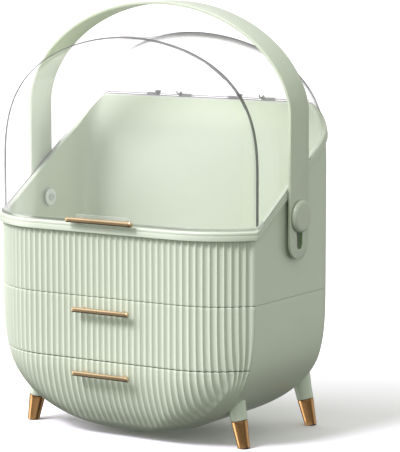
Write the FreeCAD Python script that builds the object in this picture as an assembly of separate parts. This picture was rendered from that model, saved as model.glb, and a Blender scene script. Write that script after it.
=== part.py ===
import FreeCAD, Part
import os
import math

# Storage case for cosmetics: an egg-bottomed body on four splayed feet, an open upper
# tray with a sloping rim, two bow-fronted drawers, a clear hinged hood and a swinging,
# lifting bail handle.  Millimetres, +Z up.  X runs across the front, -Y is the front.
# Dimensions are given with Y = 0 at the middle of the front face; the written parts are
# moved back by Y_MID so that the origin is on the floor below the middle of the object.

os.makedirs("parts", exist_ok=True)
V = FreeCAD.Vector

# ---------------------------------------------------------------- driving dimensions
W = 140.8            # half width of the body wall
XF = 75.4            # half length of the flat middle of the front
RF = 80.4            # radius of the front's end bows
YB = 173.0           # rear face of the body
RC = 16.0            # rear corner radius
T = 2.8              # moulded wall
Z_SEAM1 = 135.0      # tray / upper drawer parting
Z_SEAM2 = 75.8       # upper / lower drawer parting
Z_LIP = 10.0         # lower edge of the lower drawer's front
GAP = 0.4            # parting gap
ZB = 5.0             # lowest point of the belly
ZX, PX, QX = 148.0, 3.75, 2.09     # belly: width law
ZY, PY, QY = 68.5, 1.49, 3.43      # belly: depth law
YC = 61.15           # depth law's fixed plane
Z_RIM = 203.0        # front rim top
Z_BACK = 307.5       # back wall top
RIM_H = 8.5          # rim bead height
RIM_O = 2.8          # rim bead stand-out
SL_Y0 = 37.0         # where the side rim starts to climb
SL_Y1, SL_Z1 = 150.0, 274.5        # where the side rim starts to curve up
Y_FRONT_ARCH = 36.0  # plane of the hood's front arch edge
HOOD_H = 372.0       # hood crown
HOOD_ZS, HOOD_P, HOOD_Q = 242.0, 3.0, 1.9   # hood arch law
HOOD_T = 2.4         # hood wall
FL_T = 2.6           # hood foot flange thickness
AX_Y, AX_Z = 179.8, 308.6          # hood hinge axis
HINGE_X = 47.0       # hinge spacing, half
KC, KO = 13.0, 27.0  # hinge knuckles: middle half width, overall half width
PIV_Y, PIV_Z = 101.7, 209.7        # handle pivot
STRAP_X = 146.9      # strap outer face, half
STRAP_T = 2.7
STRAP_W = 33.0
HAND_ZS, HAND_H, HAND_P, HAND_Q = 303.0, 402.9, 1.808, 2.047   # strap arch law
PIN_R = 4.5          # pivot shank radius
SLOT_R = 4.9         # strap slot half width
KEY_L = 7.0          # half length of the pin's flattened key inside the slot
SLOT_B = 179.2       # lower tip of the strap slot
LIFT = PIV_Z - KEY_L - 0.35 - SLOT_B   # handle lift along its slots
BTN_R, BTN_T = 15.0, 4.3
DRAW = 110.0         # drawer travel
PULL_R = 2.35
PULL_Y = -6.8
PULL_L = 61.6
LIDPULL_L = 72.4
LID_PULL_Y = 8.0     # lid pull axis ahead of the front face
Z_PULL1, Z_PULL2, Z_PULLH = 123.0, 63.6, 205.6
FEET = {"front_left": (-119.4, 50.7), "front_right": (119.4, 50.7),
        "rear_left": (-119.4, 171.9), "rear_right": (119.4, 171.9)}
SPLAY = 0.212        # outward lean of a foot, mm per mm
SPLAY_R = 0.065      # backward lean of a rear foot
TIP_Z = 25.5         # top of the metal foot tip
SOCK_Z = 62.0        # top of the moulded foot socket

nodes = {}


def put(name, shape):
    nodes[name] = shape


# ---------------------------------------------------------------- plan outlines
def plan_pts(d, wd, yb, rc):
    """Key points of the plan inset by d, half width wd, rear at yb."""
    r = RF - d
    ph = math.asin((wd - XF) / r)
    yc = RF - r * math.cos(ph)
    return r, ph, yc


def plan_wire(z, d=0.0, wd=None, yb=None, rc=None, m=None):
    wd = W - d if wd is None else wd
    yb = YB - d if yb is None else yb
    rc = max(RC - d, 3.0) if rc is None else rc
    r, ph, yc = plan_pts(d, wd, yb, rc)
    k = math.sin(math.pi / 4)
    e = [Part.LineSegment(V(-XF, d, z), V(XF, d, z)).toShape(),
         Part.Arc(V(XF, d, z), V(XF + r * math.sin(ph / 2), RF - r * math.cos(ph / 2), z), V(wd, yc, z)).toShape(),
         Part.LineSegment(V(wd, yc, z), V(wd, yb - rc, z)).toShape(),
         Part.Arc(V(wd, yb - rc, z), V(wd - rc + rc * k, yb - rc + rc * k, z), V(wd - rc, yb, z)).toShape(),
         Part.LineSegment(V(wd - rc, yb, z), V(-wd + rc, yb, z)).toShape(),
         Part.Arc(V(-wd + rc, yb, z), V(-wd + rc - rc * k, yb - rc + rc * k, z), V(-wd, yb - rc, z)).toShape(),
         Part.LineSegment(V(-wd, yb - rc, z), V(-wd, yc, z)).toShape(),
         Part.Arc(V(-wd, yc, z), V(-XF - r * math.sin(ph / 2), RF - r * math.cos(ph / 2), z), V(-XF, d, z)).toShape()]
    return Part.Wire(e)


def plan_prism(z0, z1, d=0.0, **kw):
    return Part.Face(plan_wire(z0, d, **kw)).extrude(V(0, 0, z1 - z0))


def law(z, zt, zb, p, q):
    u = min(max((zt - z) / (zt - zb), 0.0), 1.0)
    return max(1.0 - u ** p, 0.0) ** (1.0 / q)


def belly(d, zb, ztop):
    """Egg-bottomed solid: plan inset by d, scaled in on the way down to zb.
    Every side face is one exact product of a plan edge and the depth/width laws."""
    zs = [ztop, 122.0, 110.0, 99.0, 89.0, 81.0, 75.0, 70.5, 67.0, 63.0, 57.0, 50.0, 43.0, 36.0, 29.0, 23.0, 18.0]
    zs = [z for z in zs if z > zb + 10.0] + [zb + 9.0, zb + 6.5, zb + 4.4, zb + 2.8, zb + 1.6, zb + 0.8]
    pts = [V(100 * law(z, ZX, zb, PX, QX), 100 * law(z, ZY, zb, PY, QY), z) for z in zs]
    prof = Part.BSplineCurve()
    prof.interpolate(pts)
    pv, kv, mv, dv = prof.getPoles(), prof.getKnots(), prof.getMultiplicities(), prof.Degree
    faces, tops, bots = [], [], []
    for ed in plan_wire(0.0, d).Edges:
        c = ed.Curve.toBSpline(ed.FirstParameter, ed.LastParameter)
        pu, wu = c.getPoles(), c.getWeights()
        poles = [[V(q.x / 100 * p.x, YC + q.y / 100 * (p.y - YC), q.z) for q in pv] for p in pu]
        wts = [[w for q in pv] for w in wu]
        srf = Part.BSplineSurface()
        srf.buildFromPolesMultsKnots(poles, c.getMultiplicities(), mv, c.getKnots(), kv, False, False, c.Degree, dv, wts)
        f = srf.toShape()
        faces.append(f)
        for e in f.Edges:
            b = e.BoundBox
            if b.ZLength < 1e-6:
                (tops if b.ZMax > ztop - 1e-3 else bots).append(e)
    faces.append(Part.Face(Part.Wire(Part.__sortEdges__(tops))))
    faces.append(Part.Face(Part.Wire(Part.__sortEdges__(bots))))
    sh = Part.makeShell(faces)
    sh.sewShape()
    so = Part.makeSolid(sh)
    if so.Volume < 0:
        so.reverse()
    return so


def box(x0, x1, y0, y1, z0, z1):
    return Part.makeBox(x1 - x0, y1 - y0, z1 - z0, V(x0, y0, z0))


def cyl(r, h, p, d):
    return Part.makeCylinder(r, h, V(*p), V(*d))


def mirror_x(s):
    return s.mirror(V(0, 0, 0), V(1, 0, 0))


def sym(s):
    return Part.makeCompound([s, mirror_x(s)])


def solids(s):
    return Part.makeCompound([x for x in s.Solids if x.Volume > 1.0])


def poly_prism_x(pts, x0, x1):
    """Closed Y-Z polygon (points or (arc-mid, end) pairs) pushed along X."""
    e = []
    cur = pts[0]
    for p in pts[1:]:
        if len(p) == 2:
            e.append(Part.LineSegment(V(x0, *cur), V(x0, *p)).toShape())
            cur = p
        else:
            e.append(Part.Arc(V(x0, *cur), V(x0, p[0], p[1]), V(x0, p[2], p[3])).toShape())
            cur = (p[2], p[3])
    if abs(cur[0] - pts[0][0]) + abs(cur[1] - pts[0][1]) > 1e-7:
        e.append(Part.LineSegment(V(x0, *cur), V(x0, *pts[0])).toShape())
    return Part.Face(Part.Wire(e)).extrude(V(x1 - x0, 0, 0))


# ---------------------------------------------------------------- rim line in side view
SLOPE = math.atan2(SL_Z1 - Z_RIM, SL_Y1 - SL_Y0)
TURN = 52.5
CY, CZ = SL_Y1 - TURN * math.sin(SLOPE), SL_Z1 + TURN * math.cos(SLOPE)


def rim_profile(off, zback, ymax=230.0, zfar=None, up=True):
    """Polygon above (or below) the rim line moved up by off."""
    z0 = Z_RIM + off
    ys = SL_Y0 - off * math.tan(SLOPE / 2)
    r = TURN - off
    p1 = (CY + r * math.sin(SLOPE), CZ - r * math.cos(SLOPE))
    a1 = math.asin(max(-1.0, (zback - CZ) / r))
    a0 = SLOPE - math.pi / 2
    am = (a0 + a1) / 2
    pts = [(-60.0, z0), (ys, z0), p1,
           (CY + r * math.cos(am), CZ + r * math.sin(am), CY + r * math.cos(a1), zback),
           (ymax, zback)]
    far = 520.0 if up else -50.0
    pts += [(ymax, far), (-60.0, far)]
    return poly_prism_x(pts, -220.0, 220.0)


above_rim = rim_profile(0.0, Z_BACK)
above_flange = rim_profile(FL_T, Z_BACK + FL_T)

# ---------------------------------------------------------------- body shells
outer = belly(0.0, ZB, Z_SEAM1 + 0.0)
inner = belly(T, ZB + T + 0.7, Z_SEAM1 + 0.0)
mid = belly(T / 2, ZB + T / 2 + 0.35, Z_SEAM1)
shell = outer.cut(inner)


def corner_y(z):
    """Y of the crisp front / side edge at height z."""
    yc = plan_pts(0.0, W, YB, RC)[2]
    return YC + law(z, ZY, ZB, PY, QY) * (yc - YC)


def front_zone(shift, z0, z1):
    """Everything in front of the parting surface through the crisp edge."""
    zs = [z0 + (z1 - z0) * i / 14.0 for i in range(15)]
    pts = [V(-200, corner_y(z) + shift, z) for z in zs]
    c = Part.BSplineCurve()
    c.interpolate(pts)
    e = [c.toShape(),
         Part.LineSegment(pts[-1], V(-200, -60, z1)).toShape(),
         Part.LineSegment(V(-200, -60, z1), V(-200, -60, z0)).toShape(),
         Part.LineSegment(V(-200, -60, z0), pts[0]).toShape()]
    return Part.Face(Part.Wire(e)).extrude(V(400, 0, 0))


zone_lo = front_zone(0.0, Z_LIP, ZY)
yc0 = plan_pts(0.0, W, YB, RC)[2]
zone_hi = box(-200, 200, -60, yc0, ZY, Z_SEAM1)
zone_lo_c = front_zone(GAP, Z_LIP - 0.3, ZY)
zone_hi_c = box(-200, 200, -60, yc0 + GAP, ZY, Z_SEAM1 + 1)

lower_casing = shell.cut(zone_lo_c).cut(zone_hi_c)
front1 = shell.common(zone_hi).common(box(-200, 200, -60, 60, Z_SEAM2 + 0.3, Z_SEAM1 - 0.3))
front2 = solids(shell.common(zone_lo)).Solids + solids(shell.common(box(-200, 200, -60, yc0, ZY, Z_SEAM2 - 0.3))).Solids
front2 = front2[0].fuse(front2[1:]).removeSplitter()

# casing's top frame: a ledge that carries the tray, and side ledges for the shelf
ledge = plan_prism(Z_SEAM1 - 2.6, Z_SEAM1 - 0.0, T / 2).cut(plan_prism(Z_SEAM1 - 3, Z_SEAM1 + 1, T, wd=W - 11.0, yb=YB - 12.0))
ledge = ledge.cut(box(-200, 200, -60, 44.0, 0, 200))
crossbar = box(-W + T / 2, W - T / 2, 44.0, 50.0, Z_SEAM1 - 2.6, Z_SEAM1)
lower_casing = lower_casing.fuse([ledge, crossbar])

shelf_z0, shelf_z1 = Z_SEAM2 - 0.9, Z_SEAM2 + 1.1
shelf = inner.common(box(-200, 200, yc0 + GAP + 1.0, 200, shelf_z0, shelf_z1))
shelf_ledge = mid.common(box(-200, -W + 9.5, 46, 152, shelf_z0 - 3.0, shelf_z0))
lower_casing = lower_casing.fuse([shelf_ledge, mirror_x(shelf_ledge)])
run_r = inner.common(box(52, 60, 46, 138, 5, 28.6))
runners = Part.makeCompound([run_r, mirror_x(run_r)])
print("casing", lower_casing.Volume, len(lower_casing.Solids), lower_casing.isValid())

# ---------------------------------------------------------------- arch outline seen from the front
def arch_pts(hw, h, zs, p, q, zlow, off=0.0, n=40):
    """Right half of an arch outline from zlow up to the crown, inset by off."""
    out = []
    for i in range(n + 1):
        a = math.pi / 2 * i / n
        u = math.sin(a)
        z = zs + (h - zs) * u
        x = hw * max(1 - u ** p, 0.0) ** (1.0 / q)
        out.append([x, z])
    res = []
    for i, (x, z) in enumerate(out):
        a = out[max(i - 1, 0)]
        b = out[min(i + 1, n)]
        tx, tz = b[0] - a[0], b[1] - a[1]
        if i == n:
            tx, tz = -1.0, 0.0
        if i == 0:
            tx, tz = 0.0, 1.0
        l = math.hypot(tx, tz)
        res.append((x - off * tz / l, z + off * tx / l))
    return res


def arch_face(hw, h, zs, p, q, zlow, off, y):
    pts = arch_pts(hw, h, zs, p, q, zlow, off)
    right = [V(x, y, z) for x, z in pts]
    left = [V(-x, y, z) for x, z in reversed(pts[:-1])]
    allp = right + left
    c = Part.BSplineCurve()
    c.interpolate(allp, False)
    e = [c.toShape(),
         Part.LineSegment(allp[-1], V(allp[-1].x, y, zlow)).toShape(),
         Part.LineSegment(V(allp[-1].x, y, zlow), V(allp[0].x, y, zlow)).toShape(),
         Part.LineSegment(V(allp[0].x, y, zlow), allp[0]).toShape()]
    return Part.Face(Part.Wire(e))


def arch_solid(off):
    """Everything under the arch outline moved in by off, front to back."""
    return arch_face(W, HOOD_H, HOOD_ZS, HOOD_P, HOOD_Q, 90.0, off, -60.0).extrude(V(0, 300, 0))


AE = 0.03            # the arch outlines stand this far outside the plan's side planes
arch0, arch_t, arch_b = arch_solid(-AE), arch_solid(T - AE), arch_solid(-RIM_O - AE)


# ---------------------------------------------------------------- upper tray
tray_o = plan_prism(Z_SEAM1, 330.0).common(arch0)
tray = tray_o.cut(plan_prism(Z_SEAM1 + 2.8, 340.0, T).common(arch_t))
tray = tray.cut(above_rim)
bead = plan_prism(180.0, 330.0, -RIM_O, wd=W + RIM_O, yb=YB + RIM_O, rc=RC + RIM_O).common(arch_b)
bead = bead.cut(tray_o)
zb0 = Z_RIM - RIM_H
rb = TURN + RIM_H
b1 = (CY + rb * math.sin(SLOPE), CZ - rb * math.cos(SLOPE))
yb_end = 171.5
zb_end = CZ - math.sqrt(rb * rb - (yb_end - CY) ** 2)
ymid = (b1[0] + yb_end) / 2
zmid = CZ - math.sqrt(rb * rb - (ymid - CY) ** 2)
ys_b = SL_Y0 + RIM_H * math.tan(SLOPE / 2)
below_bead = poly_prism_x([(-60.0, zb0), (ys_b, zb0), b1, (ymid, zmid, yb_end, zb_end),
                           (yb_end + 0.4, Z_BACK - RIM_H), (230.0, Z_BACK - RIM_H),
                           (230.0, 0.0), (-60.0, 0.0)], -220.0, 220.0)
bead = bead.cut(above_rim).cut(below_bead)
tray = tray.fuse(solids(bead).Solids).removeSplitter()

# handle bosses on the tray's side walls
BOSS_X = STRAP_X - STRAP_T - 0.35
boss = cyl(9.0, BOSS_X - W, (W, PIV_Y, PIV_Z), (1, 0, 0))
boss_in = cyl(8.0, 3.0, (W - T - 3.0, PIV_Y, PIV_Z), (1, 0, 0))
bore = cyl(PIN_R + 0.06, 40.0, (W - 20, PIV_Y, PIV_Z), (1, 0, 0))
tray = tray.fuse([boss, mirror_x(boss), boss_in, mirror_x(boss_in)]).cut(bore).cut(mirror_x(bore))

# ---------------------------------------------------------------- tray screws
SCR = [(-128.0, 60.0), (128.0, 60.0), (-128.0, 140.0), (128.0, 140.0), (-60.0, 164.5), (60.0, 164.5)]
screws = []
for x, y in SCR:
    post = cyl(3.4, 9.0, (x, y, Z_SEAM1 + 2.8), (0, 0, 1))
    tray = tray.fuse(post)
for x, y in SCR:
    s = cyl(2.9, 1.6, (x, y, Z_SEAM1 - 2.6 - 1.6), (0, 0, 1)).fuse(cyl(1.5, 11.0, (x, y, Z_SEAM1 - 2.6), (0, 0, 1)))
    screws.append(s)
    hole = cyl(1.5, 11.0, (x, y, Z_SEAM1 - 2.6), (0, 0, 1))
    tray = tray.cut(hole)
    lower_casing = lower_casing.cut(hole)
put("tray_screws", Part.makeCompound(screws))

# ---------------------------------------------------------------- feet
sockets, tips, pads, fscrews = {}, {}, [], []
for name, (fx, fy) in FEET.items():
    sx = 1.0 if fx > 0 else -1.0
    ry = SPLAY_R if fy > 100 else 0.0
    ax = V(-sx * SPLAY, -ry, 1.0)
    ax.normalize()
    foot = V(fx, fy, 0.0)
    at = lambda z: V(fx - sx * SPLAY * z, fy - ry * z, z)
    slab_tip = box(-250, 250, -50, 300, 2.0, TIP_Z)
    tip = Part.makeCone(5.7, 7.9, (TIP_Z + 6.0) / ax.z, at(-3.0), ax).common(slab_tip)
    slab_sock = box(-250, 250, -50, 300, TIP_Z, SOCK_Z)
    sock = Part.makeCone(7.6, 8.6, 14.0 / ax.z, at(TIP_Z - 1.0), ax)
    flare = Part.makeCone(8.6, 11.5, (SOCK_Z - TIP_Z - 13.0 + 2) / ax.z, at(TIP_Z + 13.0 - 0.01), ax)
    sock = sock.fuse(flare).common(slab_sock).cut(outer)
    sock = max(sock.Solids, key=lambda s: s.Volume)
    pad = Part.makeCone(5.0, 5.4, 2.6, at(-0.6), ax).common(box(-250, 250, -50, 300, 0.0, 2.0))
    # screw from inside the casing down the foot's axis
    wall_in = None
    z = 70.0
    while z > 20.0:
        p = at(z)
        if not inner.isInside(p, 0.01, True):
            break
        z -= 0.25
    base = at(z + 1.6)
    sc = cyl(1.6, 1.0, (0, 0, 0), (0, 0, 1))
    rod = Part.makeCylinder(1.6, (z + 1.6 - 8.0) / ax.z, at(8.0), ax)
    headc = Part.makeCylinder(3.2, 1.8, base, ax).common(inner)
    screw = rod.fuse(headc)
    fscrews.append(screw)
    tip = tip.cut(rod)
    sock = sock.cut(rod)
    lower_casing = lower_casing.cut(rod)
    put("foot_socket_" + name, sock)
    put("foot_tip_" + name, tip)
    pads.append(pad)
put("foot_pads", Part.makeCompound(pads))
put("foot_screws", Part.makeCompound(fscrews))

put("lower_casing", lower_casing)
put("drawer_shelf", shelf)
put("lower_drawer_runners", runners)


# ---------------------------------------------------------------- drawers
def pull(z, length, y_wall, yc=PULL_Y):
    bar = cyl(PULL_R, length, (-length / 2, yc, z), (1, 0, 0))
    p = cyl(1.9, y_wall - yc, (length * 0.36, yc, z), (0, 1, 0))
    return bar.fuse([p, mirror_x(p)])


def pull_screws(z, length, y_in, y_out):
    """Screws from behind the front into the pull's posts."""
    x = length * 0.36
    s = cyl(1.0, y_in - y_out, (x, y_out, z), (0, 1, 0)).fuse(cyl(2.4, 1.3, (x, y_in, z), (0, 1, 0)))
    return s


TB = 2.0             # drawer box wall
# upper drawer: box behind the bowed front
B1_W, B1_Y, B1_Z0, B1_Z1 = 131.0, 163.0, 77.3, 128.0
inner2 = belly(T + TB, ZB + T + 0.7 + TB, Z_SEAM1)


def round_box(hw, y0, y1, z0, z1, r):
    w = [V(-hw, y0, z0), V(hw, y0, z0), V(hw, y1 - r, z0), V(hw - r, y1, z0), V(-hw + r, y1, z0), V(-hw, y1 - r, z0)]
    k = r * (1 - math.sin(math.pi / 4))
    e = [Part.LineSegment(w[5], w[0]).toShape(), Part.LineSegment(w[0], w[1]).toShape(),
         Part.LineSegment(w[1], w[2]).toShape(),
         Part.Arc(w[2], V(hw - k, y1 - k, z0), w[3]).toShape(),
         Part.LineSegment(w[3], w[4]).toShape(),
         Part.Arc(w[4], V(-hw + k, y1 - k, z0), w[5]).toShape()]
    return Part.Face(Part.Wire(e)).extrude(V(0, 0, z1 - z0))


box1 = inner.common(round_box(B1_W, -20.0, B1_Y, B1_Z0, B1_Z1, 10.0))
box1 = box1.cut(inner2.common(round_box(B1_W - TB, -20.0, B1_Y - TB, B1_Z0 + TB, B1_Z1 + 5, 8.0)))
scr1 = pull_screws(Z_PULL1, PULL_L, T + TB, -5.0)
p1 = pull(Z_PULL1, PULL_L, 0.0)
hole1 = sym(cyl(1.0, 30, (PULL_L * 0.36, -5.0, Z_PULL1), (0, 1, 0)))
put("upper_drawer_front", front1.cut(hole1))
put("upper_drawer_box", box1.cut(hole1))
put("upper_drawer_pull", p1.cut(hole1))
put("upper_drawer_pull_screws", sym(scr1))

# lower drawer: trough that follows the belly behind the curved front
B2_Z0, B2_Z1 = 30.0, 72.0


def trough(w0, w1, yr0, yr1, z0, z1, extra):
    """Tapered box, half widths w0 / w1 and rear planes yr0 / yr1 at z0 / z1."""
    a = Part.makePolygon([V(-w0, -20, z0), V(w0, -20, z0), V(w0, yr0, z0), V(-w0, yr0, z0), V(-w0, -20, z0)])
    b = Part.makePolygon([V(-w1, -20, z1), V(w1, -20, z1), V(w1, yr1, z1), V(-w1, yr1, z1), V(-w1, -20, z1)])
    return Part.makeLoft([a, b], True, True)


tro = trough(91.0, 126.0, 143.0, 161.0, B2_Z0, B2_Z1, 0)
tri = trough(91.0 - TB, 126.0 + 5 * 35 / 42.0 - TB, 143.0 - TB, 161.0 + 5 * 18 / 42.0 - TB, B2_Z0, B2_Z1 + 5, 0)
box2 = inner.common(tro)
box2 = box2.cut(inner2.common(tri).cut(box(-200, 200, -60, 300, 0, B2_Z0 + TB)))
box2 = max(box2.Solids, key=lambda s: s.Volume)
scr2 = pull_screws(Z_PULL2, PULL_L, T + TB + 0.95, -5.0)
hole2 = sym(cyl(1.0, 30, (PULL_L * 0.36, -5.0, Z_PULL2), (0, 1, 0)))
p2 = pull(Z_PULL2, PULL_L, 1.5).cut(outer)
put("lower_drawer_front", front2.cut(hole2))
put("lower_drawer_box", box2.cut(hole2))
put("lower_drawer_pull", p2.cut(hole2))
put("lower_drawer_pull_screws", sym(scr2))


# ---------------------------------------------------------------- hood
def hood_plan(z, d, f, yrear, rc):
    """Plan section of the hood: bow fraction f of the body's bow, flat when f is 0."""
    n = 12
    r, ph, yc = plan_pts(0.0, W, YB, RC)
    pts = []
    ycf = Y_FRONT_ARCH
    for i in range(-n, n + 1):
        t = i / n
        s = XF + RF * ph
        a = abs(t) * s
        if a <= XF:
            x, y = a, 0.0
        else:
            b = (a - XF) / RF
            x, y = XF + RF * math.sin(b), RF * (1 - math.cos(b))
        y = (y - yc) * f + (yc * f + ycf * (1 - f)) + d
        pts.append(V(math.copysign(x, t) if i else 0.0, y, z))
    k = math.sin(math.pi / 4)
    wd = W + 6.0
    pts[0].x, pts[-1].x = -wd, wd
    c = Part.BSplineCurve()
    c.interpolate(pts)
    yb = yrear - d
    y0 = pts[-1].y
    e = [c.toShape(),
         Part.LineSegment(V(wd, y0, z), V(wd, yb, z)).toShape(),
         Part.LineSegment(V(wd, yb, z), V(-wd, yb, z)).toShape(),
         Part.LineSegment(V(-wd, yb, z), V(-wd, y0, z)).toShape()]
    return Part.Wire(e)


def hood_solid(d):
    """Solid under the hood's skin inset by d."""
    fz = [(195.0, 1.03), (240.0, 0.80), (280.0, 0.53), (320.0, 0.26), (350.0, 0.09), (385.0, 0.0)]
    yr = {195.0: YB, 240.0: YB, 280.0: YB, 320.0: YB, 350.0: YB, 385.0: YB}
    lo = Part.makeLoft([hood_plan(z, d, f, yr[z], RC) for z, f in fz], True, False)
    arch = arch_face(W, HOOD_H, HOOD_ZS, HOOD_P, HOOD_Q, 190.0, d, -30.0).extrude(V(0, 230, 0))
    s = lo.common(arch)
    # rear: rounded corners in plan and a rounded crown edge in side view
    rr = 22.0
    rear = poly_prism_x([(-60, 180), (YB - d, 180), (YB - d, HOOD_H - rr - 8),
                         (YB - d - (rr - d) * (1 - math.cos(math.pi / 4)), HOOD_H - rr - 8 + (rr - d) * math.sin(math.pi / 4) * 1.0,
                          YB - rr, HOOD_H - 8 - d + 0.0), (-60, HOOD_H + 30)], -200, 200)
    s = s.common(rear)
    return s


def rounded_plan(d):
    """Rear corners of the hood in plan."""
    return plan_prism(180.0, 400.0, d - 0.0, wd=W + 0.0 - d, yb=YB - d, rc=max(RC - d, 3.0))


def hood_outer(d):
    s = hood_solid(d)
    big = Part.makeBox(400, 300, 300, V(-200, -60, 150))
    cornercut = big.cut(plan_prism(150.0, 450.0, -40.0, wd=W - d, yb=YB - d, rc=max(RC - d, 3.0)))
    return s.cut(cornercut)


h_out = hood_outer(0.0)
h_in = hood_outer(HOOD_T)
above_flange_in = above_flange
hood = h_out.cut(h_in).common(above_flange)
flange_zone = above_rim.cut(above_flange)
fl_out = plan_prism(180.0, 330.0, -RIM_O + 0.3, wd=W + RIM_O - 0.3, yb=YB + RIM_O - 0.3, rc=RC + RIM_O - 0.3)
fl_out = fl_out.common(arch_solid(-RIM_O + 0.3 - AE))
fl_in = plan_prism(170.0, 340.0, HOOD_T).common(arch_solid(HOOD_T - AE))
flange = fl_out.cut(fl_in).common(flange_zone)
lift_gap = 0.3
tab = box(-28.5, 28.5, -3.4, HOOD_T * 0.5, Z_RIM + 0.0, Z_PULLH + 5.0)
hood = hood.fuse(solids(flange).Solids).fuse(tab).removeSplitter()
hood = max(hood.Solids, key=lambda s: s.Volume)
hood.translate(V(0, 0, lift_gap))

# hinge leaves on the hood, brackets on the case, pins
KR = 3.5             # knuckle radius
PR = 1.5             # hinge pin radius
leafs, brackets, pins, hscrews = [], [], [], []
for sx in (-1.0, 1.0):
    hx = sx * HINGE_X
    # hood leaf: middle knuckle and an upright plate against the hood's rear face
    zt = Z_BACK + FL_T + lift_gap
    kn = cyl(KR, 2 * KC, (hx - KC, AX_Y, AX_Z), (1, 0, 0))
    plate = box(hx - KO, hx + KO, YB, YB + 1.8, zt, zt + 14.0)
    neck = box(hx - KC, hx + KC, YB, AX_Y, zt, AX_Z + KR)
    leaf = kn.fuse([plate, neck]).cut(cyl(PR + 0.06, 80, (hx - 40, AX_Y, AX_Z), (1, 0, 0)))
    # case bracket: two outer knuckles on a plate against the back wall
    kg = KC + 0.35
    k1 = cyl(KR, KO - kg, (hx - KO, AX_Y, AX_Z), (1, 0, 0))
    k2 = cyl(KR, KO - kg, (hx + kg, AX_Y, AX_Z), (1, 0, 0))
    yb_ = YB + RIM_O
    bp = box(hx - KO, hx + KO, yb_, yb_ + 1.6, Z_BACK - 22.0, AX_Z - KR - 0.4)
    n1 = box(hx - KO, hx - kg, yb_, AX_Y, AX_Z - KR - 0.4, AX_Z - 1.6)
    n2 = box(hx + kg, hx + KO, yb_, AX_Y, AX_Z - KR - 0.4, AX_Z - 1.6)
    br = k1.fuse([k2, bp, n1, n2]).cut(cyl(PR, 80, (hx - 40, AX_Y, AX_Z), (1, 0, 0)))
    pad_ = box(hx - KO, hx + KO, YB, yb_, Z_BACK - 22.0, Z_BACK - RIM_H)
    tray = tray.fuse(pad_)
    pins.append(cyl(PR, 2 * KO, (hx - KO, AX_Y, AX_Z), (1, 0, 0)))
    for dx in (-19.0, 19.0):
        z = Z_BACK - 15.0
        h = cyl(1.3, 7.0, (hx + dx, yb_ + 1.6 - 7.0, z), (0, 1, 0))
        hscrews.append(h.fuse(cyl(2.4, 1.2, (hx + dx, yb_ + 1.6, z), (0, 1, 0))))
        tray = tray.cut(h)
        br = br.cut(h)
    leafs.append(leaf)
    brackets.append(br)
put("lid_hinge_leaf_left", leafs[0])
put("lid_hinge_leaf_right", leafs[1])
put("case_hinge_bracket_left", brackets[0])
put("case_hinge_bracket_right", brackets[1])
put("hinge_pins", Part.makeCompound(pins))
put("hinge_screws", Part.makeCompound(hscrews))
put("upper_tray", tray)

lp = pull(Z_PULLH, LIDPULL_L, -3.4, -LID_PULL_Y)
lp.translate(V(0, 0, lift_gap))
lscr_x = LIDPULL_L * 0.36
lscr = cyl(1.0, 7.0, (lscr_x, -6.5, Z_PULLH + lift_gap), (0, 1, 0)).fuse(
    cyl(2.0, 1.2, (lscr_x, 0.5, Z_PULLH + lift_gap), (0, 1, 0)))
lhole = sym(lscr)
put("lid_pull", lp.cut(lhole))
put("lid_pull_screws", lhole)
put("lid_hood", hood.cut(lhole))

# ---------------------------------------------------------------- handle strap
def strap_face(off, y):
    pts = arch_pts(STRAP_X, HAND_H, HAND_ZS, HAND_P, HAND_Q, 0, off, 44)
    zlow = 170.0
    right = [V(x, y, z) for x, z in pts]
    left = [V(-x, y, z) for x, z in reversed(pts[:-1])]
    c = Part.BSplineCurve()
    allp = right + left
    c.interpolate(allp, False)
    return c.toShape(), allp, zlow


y0s, y1s = PIV_Y - STRAP_W / 2, PIV_Y + STRAP_W / 2
co, po, zl = strap_face(0.0, y0s)
ci, pi_, zl = strap_face(STRAP_T, y0s)
e = [co,
     Part.LineSegment(po[-1], V(po[-1].x, y0s, zl)).toShape(),
     Part.LineSegment(V(po[-1].x, y0s, zl), V(pi_[-1].x, y0s, zl)).toShape(),
     Part.LineSegment(V(pi_[-1].x, y0s, zl), pi_[-1]).toShape(),
     ci,
     Part.LineSegment(pi_[0], V(pi_[0].x, y0s, zl)).toShape(),
     Part.LineSegment(V(pi_[0].x, y0s, zl), V(po[0].x, y0s, zl)).toShape(),
     Part.LineSegment(V(po[0].x, y0s, zl), po[0]).toShape()]
strap = Part.Face(Part.Wire(Part.__sortEdges__(e))).extrude(V(0, STRAP_W, 0))
# round the lower ends
hw = STRAP_W / 2
endcut = box(-200, 200, y0s - 5, y1s + 5, zl - 5, zl + hw).cut(
    cyl(hw, 400, (-200, PIV_Y, zl + hw), (1, 0, 0)))
strap = strap.cut(endcut)
s_top, s_bot = PIV_Z + KEY_L + 0.35 - SLOT_R, SLOT_B + SLOT_R
slot = box(-200, 200, PIV_Y - SLOT_R, PIV_Y + SLOT_R, s_bot, s_top)
slot = slot.fuse([cyl(SLOT_R, 400, (-200, PIV_Y, s_top), (1, 0, 0)),
                  cyl(SLOT_R, 400, (-200, PIV_Y, s_bot), (1, 0, 0))])
strap = strap.cut(slot)
put("handle_strap", strap)

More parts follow.
